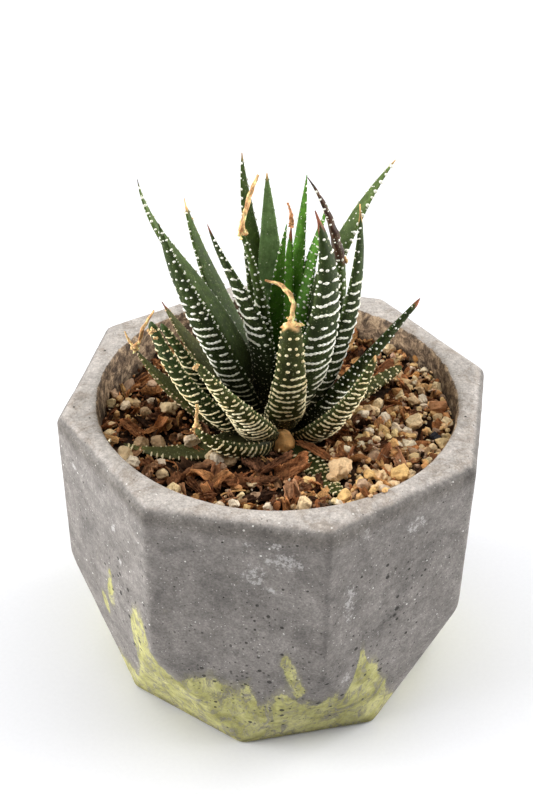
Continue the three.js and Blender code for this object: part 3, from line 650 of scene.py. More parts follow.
def bead_template(rings=5, sides=8):
    """A unit wart: points in (along the row, across it, out of the skin), quads and triangles."""
    heights = np.linspace(-0.35 * math.pi, 0.5 * math.pi, rings + 1)[:-1]
    return closed_tube(np.stack([polar(math.cos(a), around(sides), math.sin(a)) for a in heights]),
                       (0, 0, -0.9), (0, 0, 1))


BEAD = bead_template()


def foot_shade(s):
    """Painted shade: tubercles are duller and browner near the leaf's foot, deep in the rosette."""
    pale = smoothstep(0.06, 0.46, s)[:, None]
    return np.array(FOOT_SHADE) * (1 - pale) + pale


def beads(leaf, places):
    """All the warts of a leaf; places holds (s, phi, radius, stretch, height) for each."""
    s, phi, radius, stretch, height = np.array(places).T
    s = np.clip(s, 0.01, 0.985)
    centre = leaf_surface(leaf, s, phi)
    normal = leaf_normal(leaf, s, phi)
    tangent = normalised(leaf_surface(leaf, s, phi + 0.02) - centre)
    side = normalised(np.cross(normal, tangent))
    unit, quads, caps = BEAD
    points = centre[:, None]
    for axis, (way, size) in enumerate(((np.cross(side, normal), radius * stretch), (side, radius),
                                        (normal, radius * height))):
        points = points + way[:, None] * (unit[None, :, axis:axis + 1] * size[:, None, None])
    shift = (np.arange(len(s)) * len(unit))[:, None, None]
    return (points.reshape(-1, 3), (quads[None] + shift).reshape(-1, 4), (caps[None] + shift).reshape(-1, 3),
            foot_shade(np.repeat(s, len(unit))))


def joined(parts):
    """Joins several (points, quads, triangles, colours) into one set of arrays."""
    points, quads, triangles, colors = zip(*parts)
    shifts = np.cumsum([0] + [len(p) for p in points])
    quads, triangles = (np.vstack([faces + shift for faces, shift in zip(group, shifts)])
                        for group in (quads, triangles))
    return np.vstack(points), quads, triangles, np.clip(np.vstack(colors), 0, 1)


BACK_LOW, BACK_HIGH = math.radians(188), math.radians(352)
BACK_SPREAD = BACK_HIGH - BACK_LOW


def band(leaf, s, pitch, thick, girth, rng):
    """One row across the back: stretches of knobbly ridge, with breaks that grow towards the tip."""
    parts, dots = [], []
    cuts = np.sort(rng.uniform(0.1, 0.9, rng.poisson(0.7 + 2.2 * s)))
    edges = np.concatenate([[0.0], cuts, [1.0]])
    wave_a, wave_b = rng.uniform(-1, 1, 2)
    room = 0.32 / girth + 0.012
    for a, b in zip(edges[:-1] + room, edges[1:] - room):
        reach = (b - a) * girth
        shift = rng.uniform(-0.12, 0.12) * pitch
        if reach < 0.9:
            if reach > 0.1:
                dots.append((s + shift, BACK_LOW + BACK_SPREAD * (a + b) / 2, thick * 1.1, 1.3, 0.8))
            continue
        steps = max(5, int(reach / 0.24))
        t = np.linspace(a, b, steps)
        bend = 0.1 * pitch * (wave_a * np.sin(t * 7 + wave_b * 3) + 0.5 * np.sin(t * 17 + wave_a * 9))
        station = s + shift + bend - 0.22 * pitch * (2 * t - 1) ** 2
        phi = BACK_LOW + BACK_SPREAD * t
        normals = leaf_normal(leaf, station, phi)
        knobs = 0.62 + 0.62 * np.abs(np.sin(t * girth * 2.7 + rng.uniform(0, 3))) ** 1.3
        ends = np.sqrt(np.clip(np.minimum(t - a, b - t) * girth / 0.5 + 0.25, 0, 1))
        radius = thick * knobs * ends * rng.uniform(0.92, 1.08, steps)
        tube = worm(leaf_surface(leaf, station, phi) + normals * (thick * 0.1), normals, radius)
        parts.append((*tube, foot_shade(np.full(len(tube[0]), s))))
    return parts, dots


def leaf_beads(leaf, rng):
    """Tubercles: fine specks at the foot, bands on the back, dots towards the tip, teeth on the margins."""
    parts, dots = [], []
    s = 0.05 + rng.uniform(0, 0.02)
    limit = min(0.975, leaf.end_at + (0.3 if leaf.end == TIP_BROWN else -0.01))

    def jitter(reach):
        return rng.uniform(-reach, reach)

    while s < limit:
        width = float(width_at(leaf, np.array(s)))
        pitch = leaf.pitch * (0.82 + 0.4 * s) / leaf.length
        thick = leaf.bead * (0.5 + 0.68 * min(1.0, s / 0.42)) * min(1.0, 0.5 + width / 12)
        girth = 1.25 * width
        if s < leaf.fine:
            pitch *= 0.7
            count = max(3, int(girth / 1.2))
            for k in range(count):
                phi = BACK_LOW + BACK_SPREAD * (k + 0.5 + jitter(0.35)) / count
                dots.append((s + jitter(0.3) * pitch, phi, thick * rng.uniform(0.35, 0.6),
                             rng.uniform(1, 2.2), 0.8))
        elif s < leaf.bands:
            more_parts, more_dots = band(leaf, s, pitch, thick, girth, rng)
            parts += more_parts
            dots += more_dots
        else:
            count = max(2, int(round(girth / rng.uniform(1.7, 2.1))))
            for k in range(count):
                phi = BACK_LOW + BACK_SPREAD * (k + 0.5 + jitter(0.22)) / count
                dots.append((s + jitter(0.16) * pitch, phi, thick * leaf.big * rng.uniform(0.85, 1.2),
                             rng.uniform(1.0, 1.5), rng.uniform(0.7, 0.95)))
        for k in range(leaf.face_rows if s > leaf.face_from else 0):
            phi = 0.35 + (math.pi - 0.7) * (k + 0.5 + jitter(0.2)) / leaf.face_rows
            dots.append((s + jitter(0.12) * pitch, phi, thick * rng.uniform(0.8, 1.1), 1.5, 0.8))
        for _ in range(rng.poisson(leaf.face_dots)):
            phi = rng.uniform(0.3, math.pi - 0.3)
            dots.append((s + jitter(0.4) * pitch, phi, thick * 0.75, 1.1, 0.7))
        s += pitch * rng.uniform(0.93, 1.07)
    # Teeth along both margins: a fine row, and coarser ones or ticks in between.
    for margin, inward in ((0.0, 1), (math.pi, -1)):
        for place in np.arange(0.06, limit, 1.15 / leaf.length):
            if rng.uniform() >= 0.2 + 0.5 * place:
                dots.append((place + jitter(0.3) / leaf.length, margin + jitter(0.06),
                             leaf.bead * rng.uniform(0.36, 0.52), 1.1, 1.1))
        for place in np.arange(0.12, limit, leaf.pitch / leaf.length):
            dots.append((place + jitter(0.4) / leaf.length, margin + inward * leaf.tick_in + jitter(0.08),
                         leaf.bead * leaf.tooth * rng.uniform(0.75, 1.2),
                         leaf.tick * rng.uniform(0.8, 1.4), 1.0))
    points, quads, triangles, shade = joined(parts + [beads(leaf, dots)])
    make_piece(leaf.name + "_tubercles", points, [quads, triangles], BEADS[leaf.tone], None,
               colors={"shade": shade})


def curve_through(points, count):
    """A smooth line through a few points (Catmull-Rom)."""
    points = np.asarray(points, dtype=float)
    padded = np.vstack([2 * points[0] - points[1], points, 2 * points[-1] - points[-2]])
    t = np.linspace(0, len(points) - 1 - 1e-6, count)
    i = t.astype(int)
    u = (t - i)[:, None]
    p0, p1, p2, p3 = padded[i], padded[i + 1], padded[i + 2], padded[i + 3]
    return 0.5 * ((2 * p1) + (p2 - p0) * u + (2 * p0 - 5 * p1 + 4 * p2 - p3) * u ** 2
                  + (3 * p1 - p0 - 3 * p2 + p3) * u ** 3)


def ragged_tube(path, radius, color, rng, sides=10):
    """A wrinkled dry thread; returns points, quads, triangles and colours."""
    tangent = normalised(np.gradient(path, axis=0))
    side = normalised(np.cross(tangent, np.array([0.3, -0.8, 0.52])))
    other = np.cross(tangent, side)
    angle = around(sides)
    t = np.linspace(0, 1, len(path))[:, None]
    phase = rng.uniform(0, 6, 4)
    wrinkle = (1 + 0.26 * np.sin(angle * 2 + t * 9 + phase[0]) + 0.2 * np.sin(angle * 3 - t * 27 + phase[1])
               + 0.1 * np.sin(angle + t * 55 + phase[2]))
    wrinkle = 1 + (wrinkle - 1) * (1 + 0.9 * smoothstep(0.24, 0.04, t))
    wrinkle = np.maximum(0.3, wrinkle * rng.uniform(0.9, 1.1, wrinkle.shape))
    ring = side[:, None] * np.cos(angle)[None, :, None] + other[:, None] * np.sin(angle)[None, :, None] * 0.7
    points = path[:, None] + ring * (radius[:, None] * wrinkle)[..., None]
    shade = 1 + 0.3 * np.sin(t * 31 + angle + phase[3]) + 0.3 * np.sin(angle * 2 + t * 5 + phase[0])
    # Wrinkle crevices are darker and the ridges lighter: painted shade and highlight.
    shade = (shade * np.clip(wrinkle, 0.5, 1.3))[..., None] * np.array(color)
    return *closed_tube(points, path[0], path[-1]), np.vstack([shade.reshape(-1, 3), color, color])


def lump(at, reach, color, rng):
    """A small ragged corky crumb."""
    line = at + np.linspace(-0.6, 0.6, 7)[:, None] * normalised(rng.normal(size=3)) * reach
    hump = reach * np.sqrt(np.clip(1 - np.linspace(-1, 1, 7) ** 2, 0.05, 1)) * 0.75
    return ragged_tube(line, hump, color * rng.uniform(0.75, 1.15), rng, 8)


def dry_tips(leaf, rng):
    """Withered threads beyond the blade's tip, and corky spots on the blade."""
    color = np.array(leaf.dry_color)
    parts = []
    for s, angle, reach in leaf.scabs:
        at = leaf_surface(leaf, s, math.radians(angle))
        parts += [lump(at + rng.normal(0, 0.35 * reach, 3), reach, color, rng) for _ in range(4)]
    if leaf.dry:
        tip = spine(leaf)[-1]
        before = leaf_axes(leaf, np.array([0.97]))[0][0]
        blunt = min(float(width_at(leaf, np.array(0.985))) / 2, 2.2)
        line = curve_through([before, tip] + [tip + np.array(step) for step in leaf.dry], 46)
        kink = np.cumsum(rng.normal(0, 0.035, line.shape), axis=0)
        t = np.linspace(0, 1, len(line))
        kink -= t[:, None] * kink[-1]
        line = line + kink * smoothstep(0, 0.3, t)[:, None]
        radius = leaf.thread * (1 - 0.66 * t) + max(0.0, blunt - 0.9) * smoothstep(0.17, 0.03, t)
        parts.append(ragged_tube(line, radius, color, rng, 16))
        if leaf.fork:
            fork = curve_through([before, tip] + [tip + step for step in leaf.fork], 26)
            parts.append(ragged_tube(fork, 0.55 * (1 - 0.7 * np.linspace(0, 1, len(fork))), color, rng))
        for _ in range(int(3 + 6 * blunt)):
            spot = normalised(rng.normal(0, 1, 3)) * (0.85 * blunt + 0.2) * (1, 1, 0.6) - (0, 0, 0.4)
            parts.append(lump(tip + spot, rng.uniform(0.35, 0.7), color, rng))
    points, quads, triangles, colors = joined(parts)
    make_piece(leaf.name + "_dry", points, [quads, triangles], DRY, None, colors={"skin": colors})


def build_leaves():
    for number, leaf in enumerate(LEAVES):
        rng = np.random.default_rng(LEAF_SEED + number)
        leaf_body(leaf, rng)
        leaf_beads(leaf, rng)
        if leaf.dry or leaf.scabs:
            dry_tips(leaf, rng)


# ---------------------------------------------------------------- stem


def build_stem():
    rng = np.random.default_rng(STEM_SEED)
    z = np.linspace(60, 99, STEM_ROWS)[:, None]
    radius = np.interp(z, [60, 65, 80, 90, 98, 99], [2.6, 4.4, 4.4, 3.2, 1.6, 0.8])
    angle = around(STEM_COLUMNS)
    ridges = 1 + 0.05 * np.sin(z * 2.4 + np.sin(angle) * 1.3) + 0.03 * np.sin(angle * 5 + z)
    points = polar(radius * ridges, angle, z) + PLANT
    tube = closed_tube(points, points[0].mean(0), points[-1].mean(0))
    parts = [(*tube, np.ones_like(tube[0]))]
    s = np.linspace(0, 1, 30)
    for i in range(5):
        turn = math.radians(24 + i * 72)
        ahead, aside = (math.cos(turn), math.sin(turn), 0), (-math.sin(turn), math.cos(turn), 0)
        line = PLANT + np.outer(1 + 24 * s - 6 * s * s, ahead) + np.outer(0.25 * np.sin(s * 14 + i), aside)
        line[:, 2] = 65 - 14 * s - 14 * s * s
        parts.append(ragged_tube(line, 1.55 - 0.95 * s, (1, 1, 1), rng))
    points, quads, triangles, _ = joined(parts)
    make_piece("stem_and_roots_bark", points, [quads, triangles], STEM, "stem_and_roots")


# ---------------------------------------------------------------- pot

POT_SIDES = 8
HALF_SIDE = math.pi / POT_SIDES
SOFT_EDGE = 0.24


def soft_min(values, softness):
    low = values.min(axis=0)
    return low - softness * np.log(np.exp(-(values - low) / softness).sum(axis=0))


def pot_radius(theta, z, inset):
    """Distance from the axis to the pot's faceted outside, with slightly softened edges."""
    wall = POT_FLATS / 2
    base_flat = BASE_RADIUS * math.cos(HALF_SIDE)
    knee_corner = wall / math.cos(HALF_SIDE)
    shield = BASE_RADIUS + (wall - BASE_RADIUS) * z / KNEE_HEIGHT
    facet = base_flat + (knee_corner - base_flat) * z / KNEE_HEIGHT
    options = []
    for i in range(POT_SIDES):
        for reach, turn in ((wall - inset, 0), (shield, 0), (facet, HALF_SIDE)):
            cosine = np.cos(theta - (2 * HALF_SIDE * i + turn))
            facing = cosine > 0.5
            options.append(np.where(facing, reach / np.where(facing, cosine, 1), 999))
    return soft_min(np.stack(options), SOFT_EDGE)


# How far the green growth climbs, by compass direction (degrees, height in mm). The side that the
# photograph shows is measured; the other side goes on in the same way.
STAIN_EDGE = [
    (-180, 14), (-172, 21), (-164, 12), (-156, 28), (-153, 20), (-150, 12), (-146, 8), (-140, 11), (-128, 12),
    (-124, 20), (-122, 45), (-119, 49), (-116, 48), (-113, 36), (-110, 27), (-106, 27), (-104, 30), (-97, 31),
    (-93.5, 28), (-90.5, 28), (-87, 30), (-85.5, 26), (-84, 20), (-82.5, 23), (-80, 26.5), (-76.7, 29.5),
    (-72, 24.5), (-67, 20.5), (-64.7, 24), (-62, 26), (-60.5, 21), (-57.5, 30), (-56, 44), (-54.5, 37),
    (-50, 33), (-48, 27), (-45, 22), (-41, 12), (-36, 8), (-24, 10), (-16, 14), (-10, 30), (-4, 26), (3, 33),
    (9, 22), (18, 12), (30, 16), (40, 9), (50, 12), (58, 24), (63, 31), (70, 27), (76, 18), (88, 14),
    (100, 20), (104, 29), (112, 23), (120, 13), (136, 9), (148, 16), (156, 28), (163, 36), (168, 30),
    (174, 19), (180, 14),
]
# Spots on the outside: (degrees, height, half width and half height in mm).
STAIN_SPOTS = [(-76.8, 42, 1.5, 3.4), (-75.6, 38, 1.7, 4.0), (-74.4, 34.5, 1.8, 4.0), (-73.2, 31, 1.8, 3.6),
               (-133.5, 43, 2.2, 5.5), (-138.5, 35, 1.8, 5.2), (-133, 50, 1.2, 2.6)]
SCUFF_SPOTS = [(-81, 67, 1.5, 1.3), (-83, 74, 2.2, 0.8), (-57.5, 83, 1.0, 1.6), (-86, 81.5, 2.0, 1.0),
               (-80, 82, 1.4, 1.2), (-41, 78, 3.4, 2.2), (-60, 32, 1.5, 2.6), (-129, 70, 1.4, 2.6),
               (-126, 60, 0.9, 1.2), (-85, 71, 3.0, 3.4), (-61, 62, 1.6, 6.0), (-78, 77, 5.0, 2.4),
               (100, 60, 2.0, 1.6), (60, 72, 2.2, 1.4), (20, 52, 1.4, 2.2), (150, 66, 2.0, 2.2),
               (-150, 76, 1.6, 1.6)]
PIT_SPOTS = [(-45, 57, 12, 11), (-50, 45, 8, 7), (-49, 24, 8, 10), (-84, 56, 5, 6), (-102, 49, 3, 4),
             (-80, 30, 16, 16), (-126, 40, 8, 16), (45, 50, 14, 14), (135, 46, 12, 16), (-8, 60, 10, 14)]


def spots(theta, z, places, soft=0.0):
    """1 in the middle of each oval spot and 0 from its edge on."""
    total = np.zeros(np.broadcast(theta, z).shape)
    for degrees, height, wide, tall in places:
        off = np.angle(np.exp(1j * (theta - math.radians(degrees)))) * POT_FLATS / 2
        reach = np.sqrt((off / wide) ** 2 + ((z - height) / tall) ** 2)
        total = np.maximum(total, np.clip((1.35 + soft - reach) / (0.8 + soft), 0, 1))
    return total


def pot_rings(theta):
    """(radius, height, kind) of each ring, from the foot up, over the rim and down the inside."""
    for z in np.concatenate([np.linspace(0, 1.2, 5), np.linspace(2, POT_HEIGHT - RIM_BEVEL, 74)]):
        foot = 0.7 * (1 - math.sqrt(max(0.0, 1 - (1 - min(z, 1.2) / 1.2) ** 2)))
        yield pot_radius(theta, z, 0) - foot, z, "outside"
    for turn in np.linspace(0.08, 1, 10) * math.pi / 2:
        inset = RIM_BEVEL * (1 - math.cos(turn))
        z = POT_HEIGHT - RIM_BEVEL + RIM_BEVEL * math.sin(turn)
        yield pot_radius(theta, z, inset), z, "bevel"
    edge = pot_radius(theta, POT_HEIGHT, RIM_BEVEL)
    lip = MOUTH_RADIUS + MOUTH_ROUND
    for share in (0.25, 0.5, 0.75):
        yield edge + (lip - edge) * share, POT_HEIGHT, "rim"
    for turn in np.linspace(0, 1, 8) * math.pi / 2:
        z = POT_HEIGHT - MOUTH_ROUND + MOUTH_ROUND * math.cos(turn)
        yield lip - MOUTH_ROUND * math.sin(turn), z, "mouth"
    for z in np.linspace(POT_HEIGHT - 3, FLOOR_THICKNESS + 3, 30):
        share = (z - FLOOR_THICKNESS) / (POT_HEIGHT - FLOOR_THICKNESS)
        yield FLOOR_RADIUS + (MOUTH_RADIUS - FLOOR_RADIUS) * share ** 0.8, z, "inside"
    for radius in (FLOOR_RADIUS - 2, 20.0):
        yield radius, FLOOR_THICKNESS, "inside"


def build_pot():
    theta = around(POT_COLUMNS)
    radius, z, kind = zip(*pot_rings(theta))
    radius = np.stack([np.broadcast_to(r, theta.shape) for r in radius])
    z, kind = np.array(z)[:, None], np.array(kind)[:, None]
    points = polar(radius, theta, z)
    # Hand-cast walls are slightly uneven.
    swell = (0.16 * wave_noise(points, 0.06, 3) + 0.07 * wave_noise(points, 0.28, 4)
             + 0.03 * wave_noise(points, 1.1, 5))
    points += polar(-np.abs(swell) * (kind != "inside") * np.clip(z / 3, 0, 1), theta, 0)
    points[..., 2] -= np.abs(0.22 * wave_noise(points, 0.16, 6)) * np.isin(kind, ("bevel", "rim", "mouth"))
    # Marks: growth, inner tide lines and the rubbed rim.
    outside = kind == "outside"
    rise = np.interp(np.degrees(np.angle(np.exp(1j * theta))), *np.array(STAIN_EDGE).T)
    growth = np.maximum(np.clip(0.5 + (rise - z) / 10, 0, 1) * outside,
                        spots(theta, z, STAIN_SPOTS) * outside * 0.85)
    inner = np.where(kind == "mouth", smoothstep(POT_HEIGHT + 0.4, POT_HEIGHT - 1.4, z), kind == "inside")
    on_top = np.isin(kind, ("rim", "mouth"))
    rim = np.where(kind == "bevel", smoothstep(POT_HEIGHT - 0.9, POT_HEIGHT, z), on_top)
    # A dark stripe over the bevel and just below it; the lower facets and the foot are darker, painted shade
    # where they face down, away from the light.
    stripe = smoothstep(POT_HEIGHT - 6.5, POT_HEIGHT - 3.4, z)
    stripe = stripe * smoothstep(POT_HEIGHT - 0.4, POT_HEIGHT - 2.4, z) * 0.6
    damp_and_shade = np.maximum(stripe, 0.06 * smoothstep(34, 20, z) + 0.75 * smoothstep(6, 0, z)) * (1 - inner)
    pitted = 0.5 + 0.6 * spots(theta, z, PIT_SPOTS, 0.6)
    scuffed = spots(theta, z, SCUFF_SPOTS, 0.7) * 0.8
    marks, wear_and_shade = (np.stack(np.broadcast_arrays(*v), -1).reshape(-1, 3)
                   for v in ((growth, inner, rim), (pitted, scuffed, damp_and_shade)))
    points, *faces = closed_tube(points, (0, 0, 0), (0, 0, FLOOR_THICKNESS))
    make_piece("pot_concrete", points, faces, CONCRETE, "pot", colors={
        "pot_marks": np.vstack([marks, [0, 0, 0], [0, 1, 0]]),
        "pot_wear_and_shade": np.vstack([wear_and_shade, [0.4, 0, 0], [0.4, 0, 0]]),
    })


# ---------------------------------------------------------------- soil

BARK_TONES = [(0.56, 0.235, 0.09), (0.42, 0.165, 0.065), (0.28, 0.11, 0.045), (0.68, 0.31, 0.12),
              (0.18, 0.075, 0.033), (0.09, 0.042, 0.022), (0.5, 0.26, 0.13), (0.8, 0.43, 0.17)]
GRAIN_TONES = [(0.84, 0.63, 0.36), (0.82, 0.54, 0.24), (0.85, 0.71, 0.5), (0.74, 0.42, 0.17),
               (0.8, 0.54, 0.29), (0.6, 0.3, 0.12), (0.52, 0.34, 0.22), (0.84, 0.6, 0.3), (0.4, 0.26, 0.16)]


def soil_height(x, y):
    radius = np.hypot(x, y)
    side = np.cos(np.arctan2(y, x) - SOIL_HIGH_SIDE)
    swell = np.sin(x * 0.31 + 1.3) * np.cos(y * 0.27 - 0.6)
    return SOIL_LEVEL + SOIL_SLOPE * (radius / MOUTH_RADIUS) * side + SOIL_SWELL * swell


def photo_spot(column, row):
    """Where the sight line through a pixel of the photograph meets what lies on the soil."""
    right, up, back = VIEW_AXES
    sight = right * (column - PHOTO_WIDTH / 2) + up * (PHOTO_HEIGHT / 2 - row) - back * FOCAL_PIXELS
    level = SOIL_LEVEL
    for _ in range(6):
        x, y, _ = VIEW_PLACE + sight * (level + GRAIN_LIFT - VIEW_PLACE[2]) / sight[2]
        level = soil_height(x, y)
    return float(x), float(y)


def build_soil_base():
    theta = around(SOIL_COLUMNS)
    top = polar(np.linspace(0.02, 1, SOIL_ROWS)[:, None] * SOIL_RADIUS, theta, 0)
    bumps = 0.5 * wave_noise(top, 0.9, 21), 0.4 * wave_noise(top, 2.3, 22)
    top[..., 2] = soil_height(top[..., 0], top[..., 1]) - 1.1 + bumps[0] + bumps[1]
    walls = [polar(radius, theta, z)[None] for radius, z in SOIL_WALL]
    points, quads, caps = closed_tube(np.concatenate([top, *walls]), (0, 0, top[0, :, 2].mean()),
                                      (0, 0, SOIL_WALL[-1][1]))
    # These rings run outwards and then down, so the faces are turned over.
    make_piece("soil_fill", points, [quads[:, ::-1], caps[:, [1, 0, 2]]], SOIL, "soil")


def icosphere(level):
    g = (1 + 5 ** 0.5) / 2
    v = [(-1, g, 0), (1, g, 0), (-1, -g, 0), (1, -g, 0), (0, -1, g), (0, 1, g), (0, -1, -g), (0, 1, -g),
         (g, 0, -1), (g, 0, 1), (-g, 0, -1), (-g, 0, 1)]
    f = [(0, 11, 5), (0, 5, 1), (0, 1, 7), (0, 7, 10), (0, 10, 11), (1, 5, 9), (5, 11, 4), (11, 10, 2),
         (10, 7, 6), (7, 1, 8), (3, 9, 4), (3, 4, 2), (3, 2, 6), (3, 6, 8), (3, 8, 9), (4, 9, 5), (2, 4, 11),
         (6, 2, 10), (8, 6, 7), (9, 8, 1)]
    v = [tuple(normalised(np.array(p, dtype=float))) for p in v]
    for _ in range(level):
        seen, new = {}, []

        def middle(a, b):
            key = (min(a, b), max(a, b))
            if key not in seen:
                seen[key] = len(v)
                v.append(tuple(normalised(np.array(v[a]) + np.array(v[b]))))
            return seen[key]

        for a, b, c in f:
            ab, bc, ca = middle(a, b), middle(b, c), middle(c, a)
            new += [(a, ab, ca), (b, bc, ab), (c, ca, bc), (ab, bc, ca)]
        f = new
    return np.array(v), np.array(f)


BALLS = {level: icosphere(level) for level in (1, 2, 3)}


def rotation(a, b, c):
    """Turns by a about X, then by b about Y, then by c about Z."""
    ca, sa, cb, sb, cc, sc = (f(angle) for angle in (a, b, c) for f in (math.cos, math.sin))
    rx = np.array([[1, 0, 0], [0, ca, -sa], [0, sa, ca]])
    ry = np.array([[cb, 0, sb], [0, 1, 0], [-sb, 0, cb]])
    rz = np.array([[cc, -sc, 0], [sc, cc, 0], [0, 0, 1]])
    return rz @ ry @ rx


def spin(rng, tilt=math.pi):
    return rotation(rng.uniform(-tilt, tilt), rng.uniform(-tilt, tilt), rng.uniform(0, 2 * math.pi))


def stone(rng, radius, level, rough=0.16, cuts=11, deep=0.45, squash=0.72):
    """A grain: a ball with flattened sides and a lumpy skin."""
    v, f = BALLS[level]
    v = v * rng.uniform(squash, 1.2 if squash < 0.9 else 1.05, 3)
    for _ in range(cuts):
        facing = normalised(rng.normal(size=3))
        over = np.maximum(0, v @ facing - rng.uniform(deep, 0.88))
        v = v - over[:, None] * facing * 0.92
    v = v * (1 + rough * 0.7 * wave_noise(v, 3.2, int(rng.integers(1e6)))[:, None])
    if level > 1:
        v = v * (1 + rough * 0.5 * wave_noise(v, 8.5, int(rng.integers(1e6)))[:, None])
    else:
        v = v * rng.uniform(0.84, 1.1, (len(v), 1))
    return (v @ spin(rng).T) * radius, f


def flake(rng, long, wide, thick, curl, across, along):
    """A bark chip, a warped slab with a torn outline: points, quads, fibre coordinates and a painted light
    and shade factor.
    """
    u, w = np.meshgrid(np.linspace(-1, 1, along), np.linspace(-1, 1, across), indexing="ij")
    phase = rng.uniform(0, 6, 6)
    torn = rng.normal(0, 0.075, (2, along, 1))
    taper = 1 - 0.34 * np.abs(u) ** 3
    left = taper + 0.13 * np.sin(u * 2.8 + phase[0]) + torn[0]
    right = taper + 0.13 * np.sin(u * 2.3 + phase[2]) + torn[1]
    ends = 1 + (0.12 * np.sin(w * 3.4 + phase[4]) * np.sign(u) + rng.normal(0, 0.05, (1, across))) * np.abs(u)
    x = u * long * ends
    arc = 1.7 * curl * w * np.where(w > 0, right, left)
    bend = wide / (0.05 if abs(curl) < 0.05 else 1.7 * curl)
    y = bend * np.sin(arc)
    ridges = np.sin(w * 9 + phase[1] + u * 1.3)
    warp = (bend * (1 - np.cos(arc)) + rng.uniform(-0.25, 0.25) * x * np.abs(x) / long
            + rng.uniform(-0.3, 0.3) * u * w * wide
            + 0.2 * thick * ridges + 0.2 * thick * rng.normal(size=x.shape))
    rim_share = np.maximum(np.abs(u), np.abs(w))
    edge = np.clip(1.15 - rim_share ** 4, 0.25, 1)
    top = np.stack([x, y, warp + thick / 2 * edge], -1).reshape(-1, 3)
    low = np.stack([x * 0.98, y * 0.98, warp - thick / 2 * edge], -1).reshape(-1, 3)
    fibres = np.stack([u * long * 0.12, w * wide * 0.9, np.full_like(u, rng.uniform(0, 50))], -1)
    fibres = fibres.reshape(-1, 3)
    count = along * across
    index = np.arange(count).reshape(along, across)
    quads = np.stack([index[:-1, :-1], index[1:, :-1], index[1:, 1:], index[:-1, 1:]], -1).reshape(-1, 4)
    rim = np.concatenate([index[0], index[1:, -1], index[-1, -2::-1], index[-2:0:-1, 0]])
    nxt = np.roll(rim, -1)
    side = np.stack([rim, nxt, nxt + count, rim + count], -1)
    # Painted highlight on the torn edges and ridges, painted shade between the ridges and on the underside.
    pale = (0.7 + 0.6 * rim_share ** 6 + 0.22 * ridges * (1 - u * u)).reshape(-1, 1)
    return (np.vstack([top, low]), np.vstack([quads, quads[:, ::-1] + count, side]),
            np.vstack([fibres, fibres + (0, 0, 0.4)]), np.vstack([pale, pale * 0.8]))


# Centre lines and half widths of the leaves that lie on the soil, without the foot.
LOW_LINES = [(spine(leaf)[LOW_START:], width_at(leaf, np.linspace(0, 1, LEAF_STEPS + 1))[LOW_START:] / 2)
             for leaf in LEAVES[-LOW_COUNT:]]


def near_low_leaf(x, y, margin):
    """Whether something this wide at (x, y) would lie on a leaf that rests on the soil."""
    return any(np.min(np.hypot(line[:, 0] - x, line[:, 1] - y) - half) < margin for line, half in LOW_LINES)


class Heap:
    """Collects soil pieces of one kind into one large mesh."""

    def __init__(self, name, material):
        self.name = name
        self.material = material
        self.points, self.faces, self.tints, self.grains, self.offset = [], [], [], [], 0

    def add(self, points, faces, tint, grain=None):
        # What lies deep between the pieces is darkened: painted shade in the gaps.
        depth = points[:, 2] - soil_height(points[:, 0], points[:, 1])
        tint = np.array(tint, dtype=float) * (0.4 + 0.6 * smoothstep(-0.7, 0.5, depth))[:, None]
        self.points.append(points)
        self.faces.append(faces + self.offset)
        self.tints.append(tint * np.minimum(1, BRIGHTEST / tint.max(axis=1, keepdims=True)))
        if grain is not None:
            self.grains.append(grain)
        self.offset += len(points)

    def build(self):
        colors = {"tint": np.vstack(self.tints)}
        if self.grains:
            colors["grain"] = np.vstack(self.grains)
        make_piece(self.name, np.vstack(self.points), [np.vstack(self.faces)], self.material, None,
                   smooth=self.name == "soil_pebble", colors=colors)


def keep_inside(points):
    """Pushes points that would stand in the pot's wall back inside it."""
    limit = np.where(points[:, 2] > POT_HEIGHT, RIM_REACH, WALL_REACH)
    scale = np.minimum(1, limit / np.maximum(np.hypot(points[:, 0], points[:, 1]), 1e-6))
    return points * np.stack([scale, scale, np.ones_like(scale)], -1)


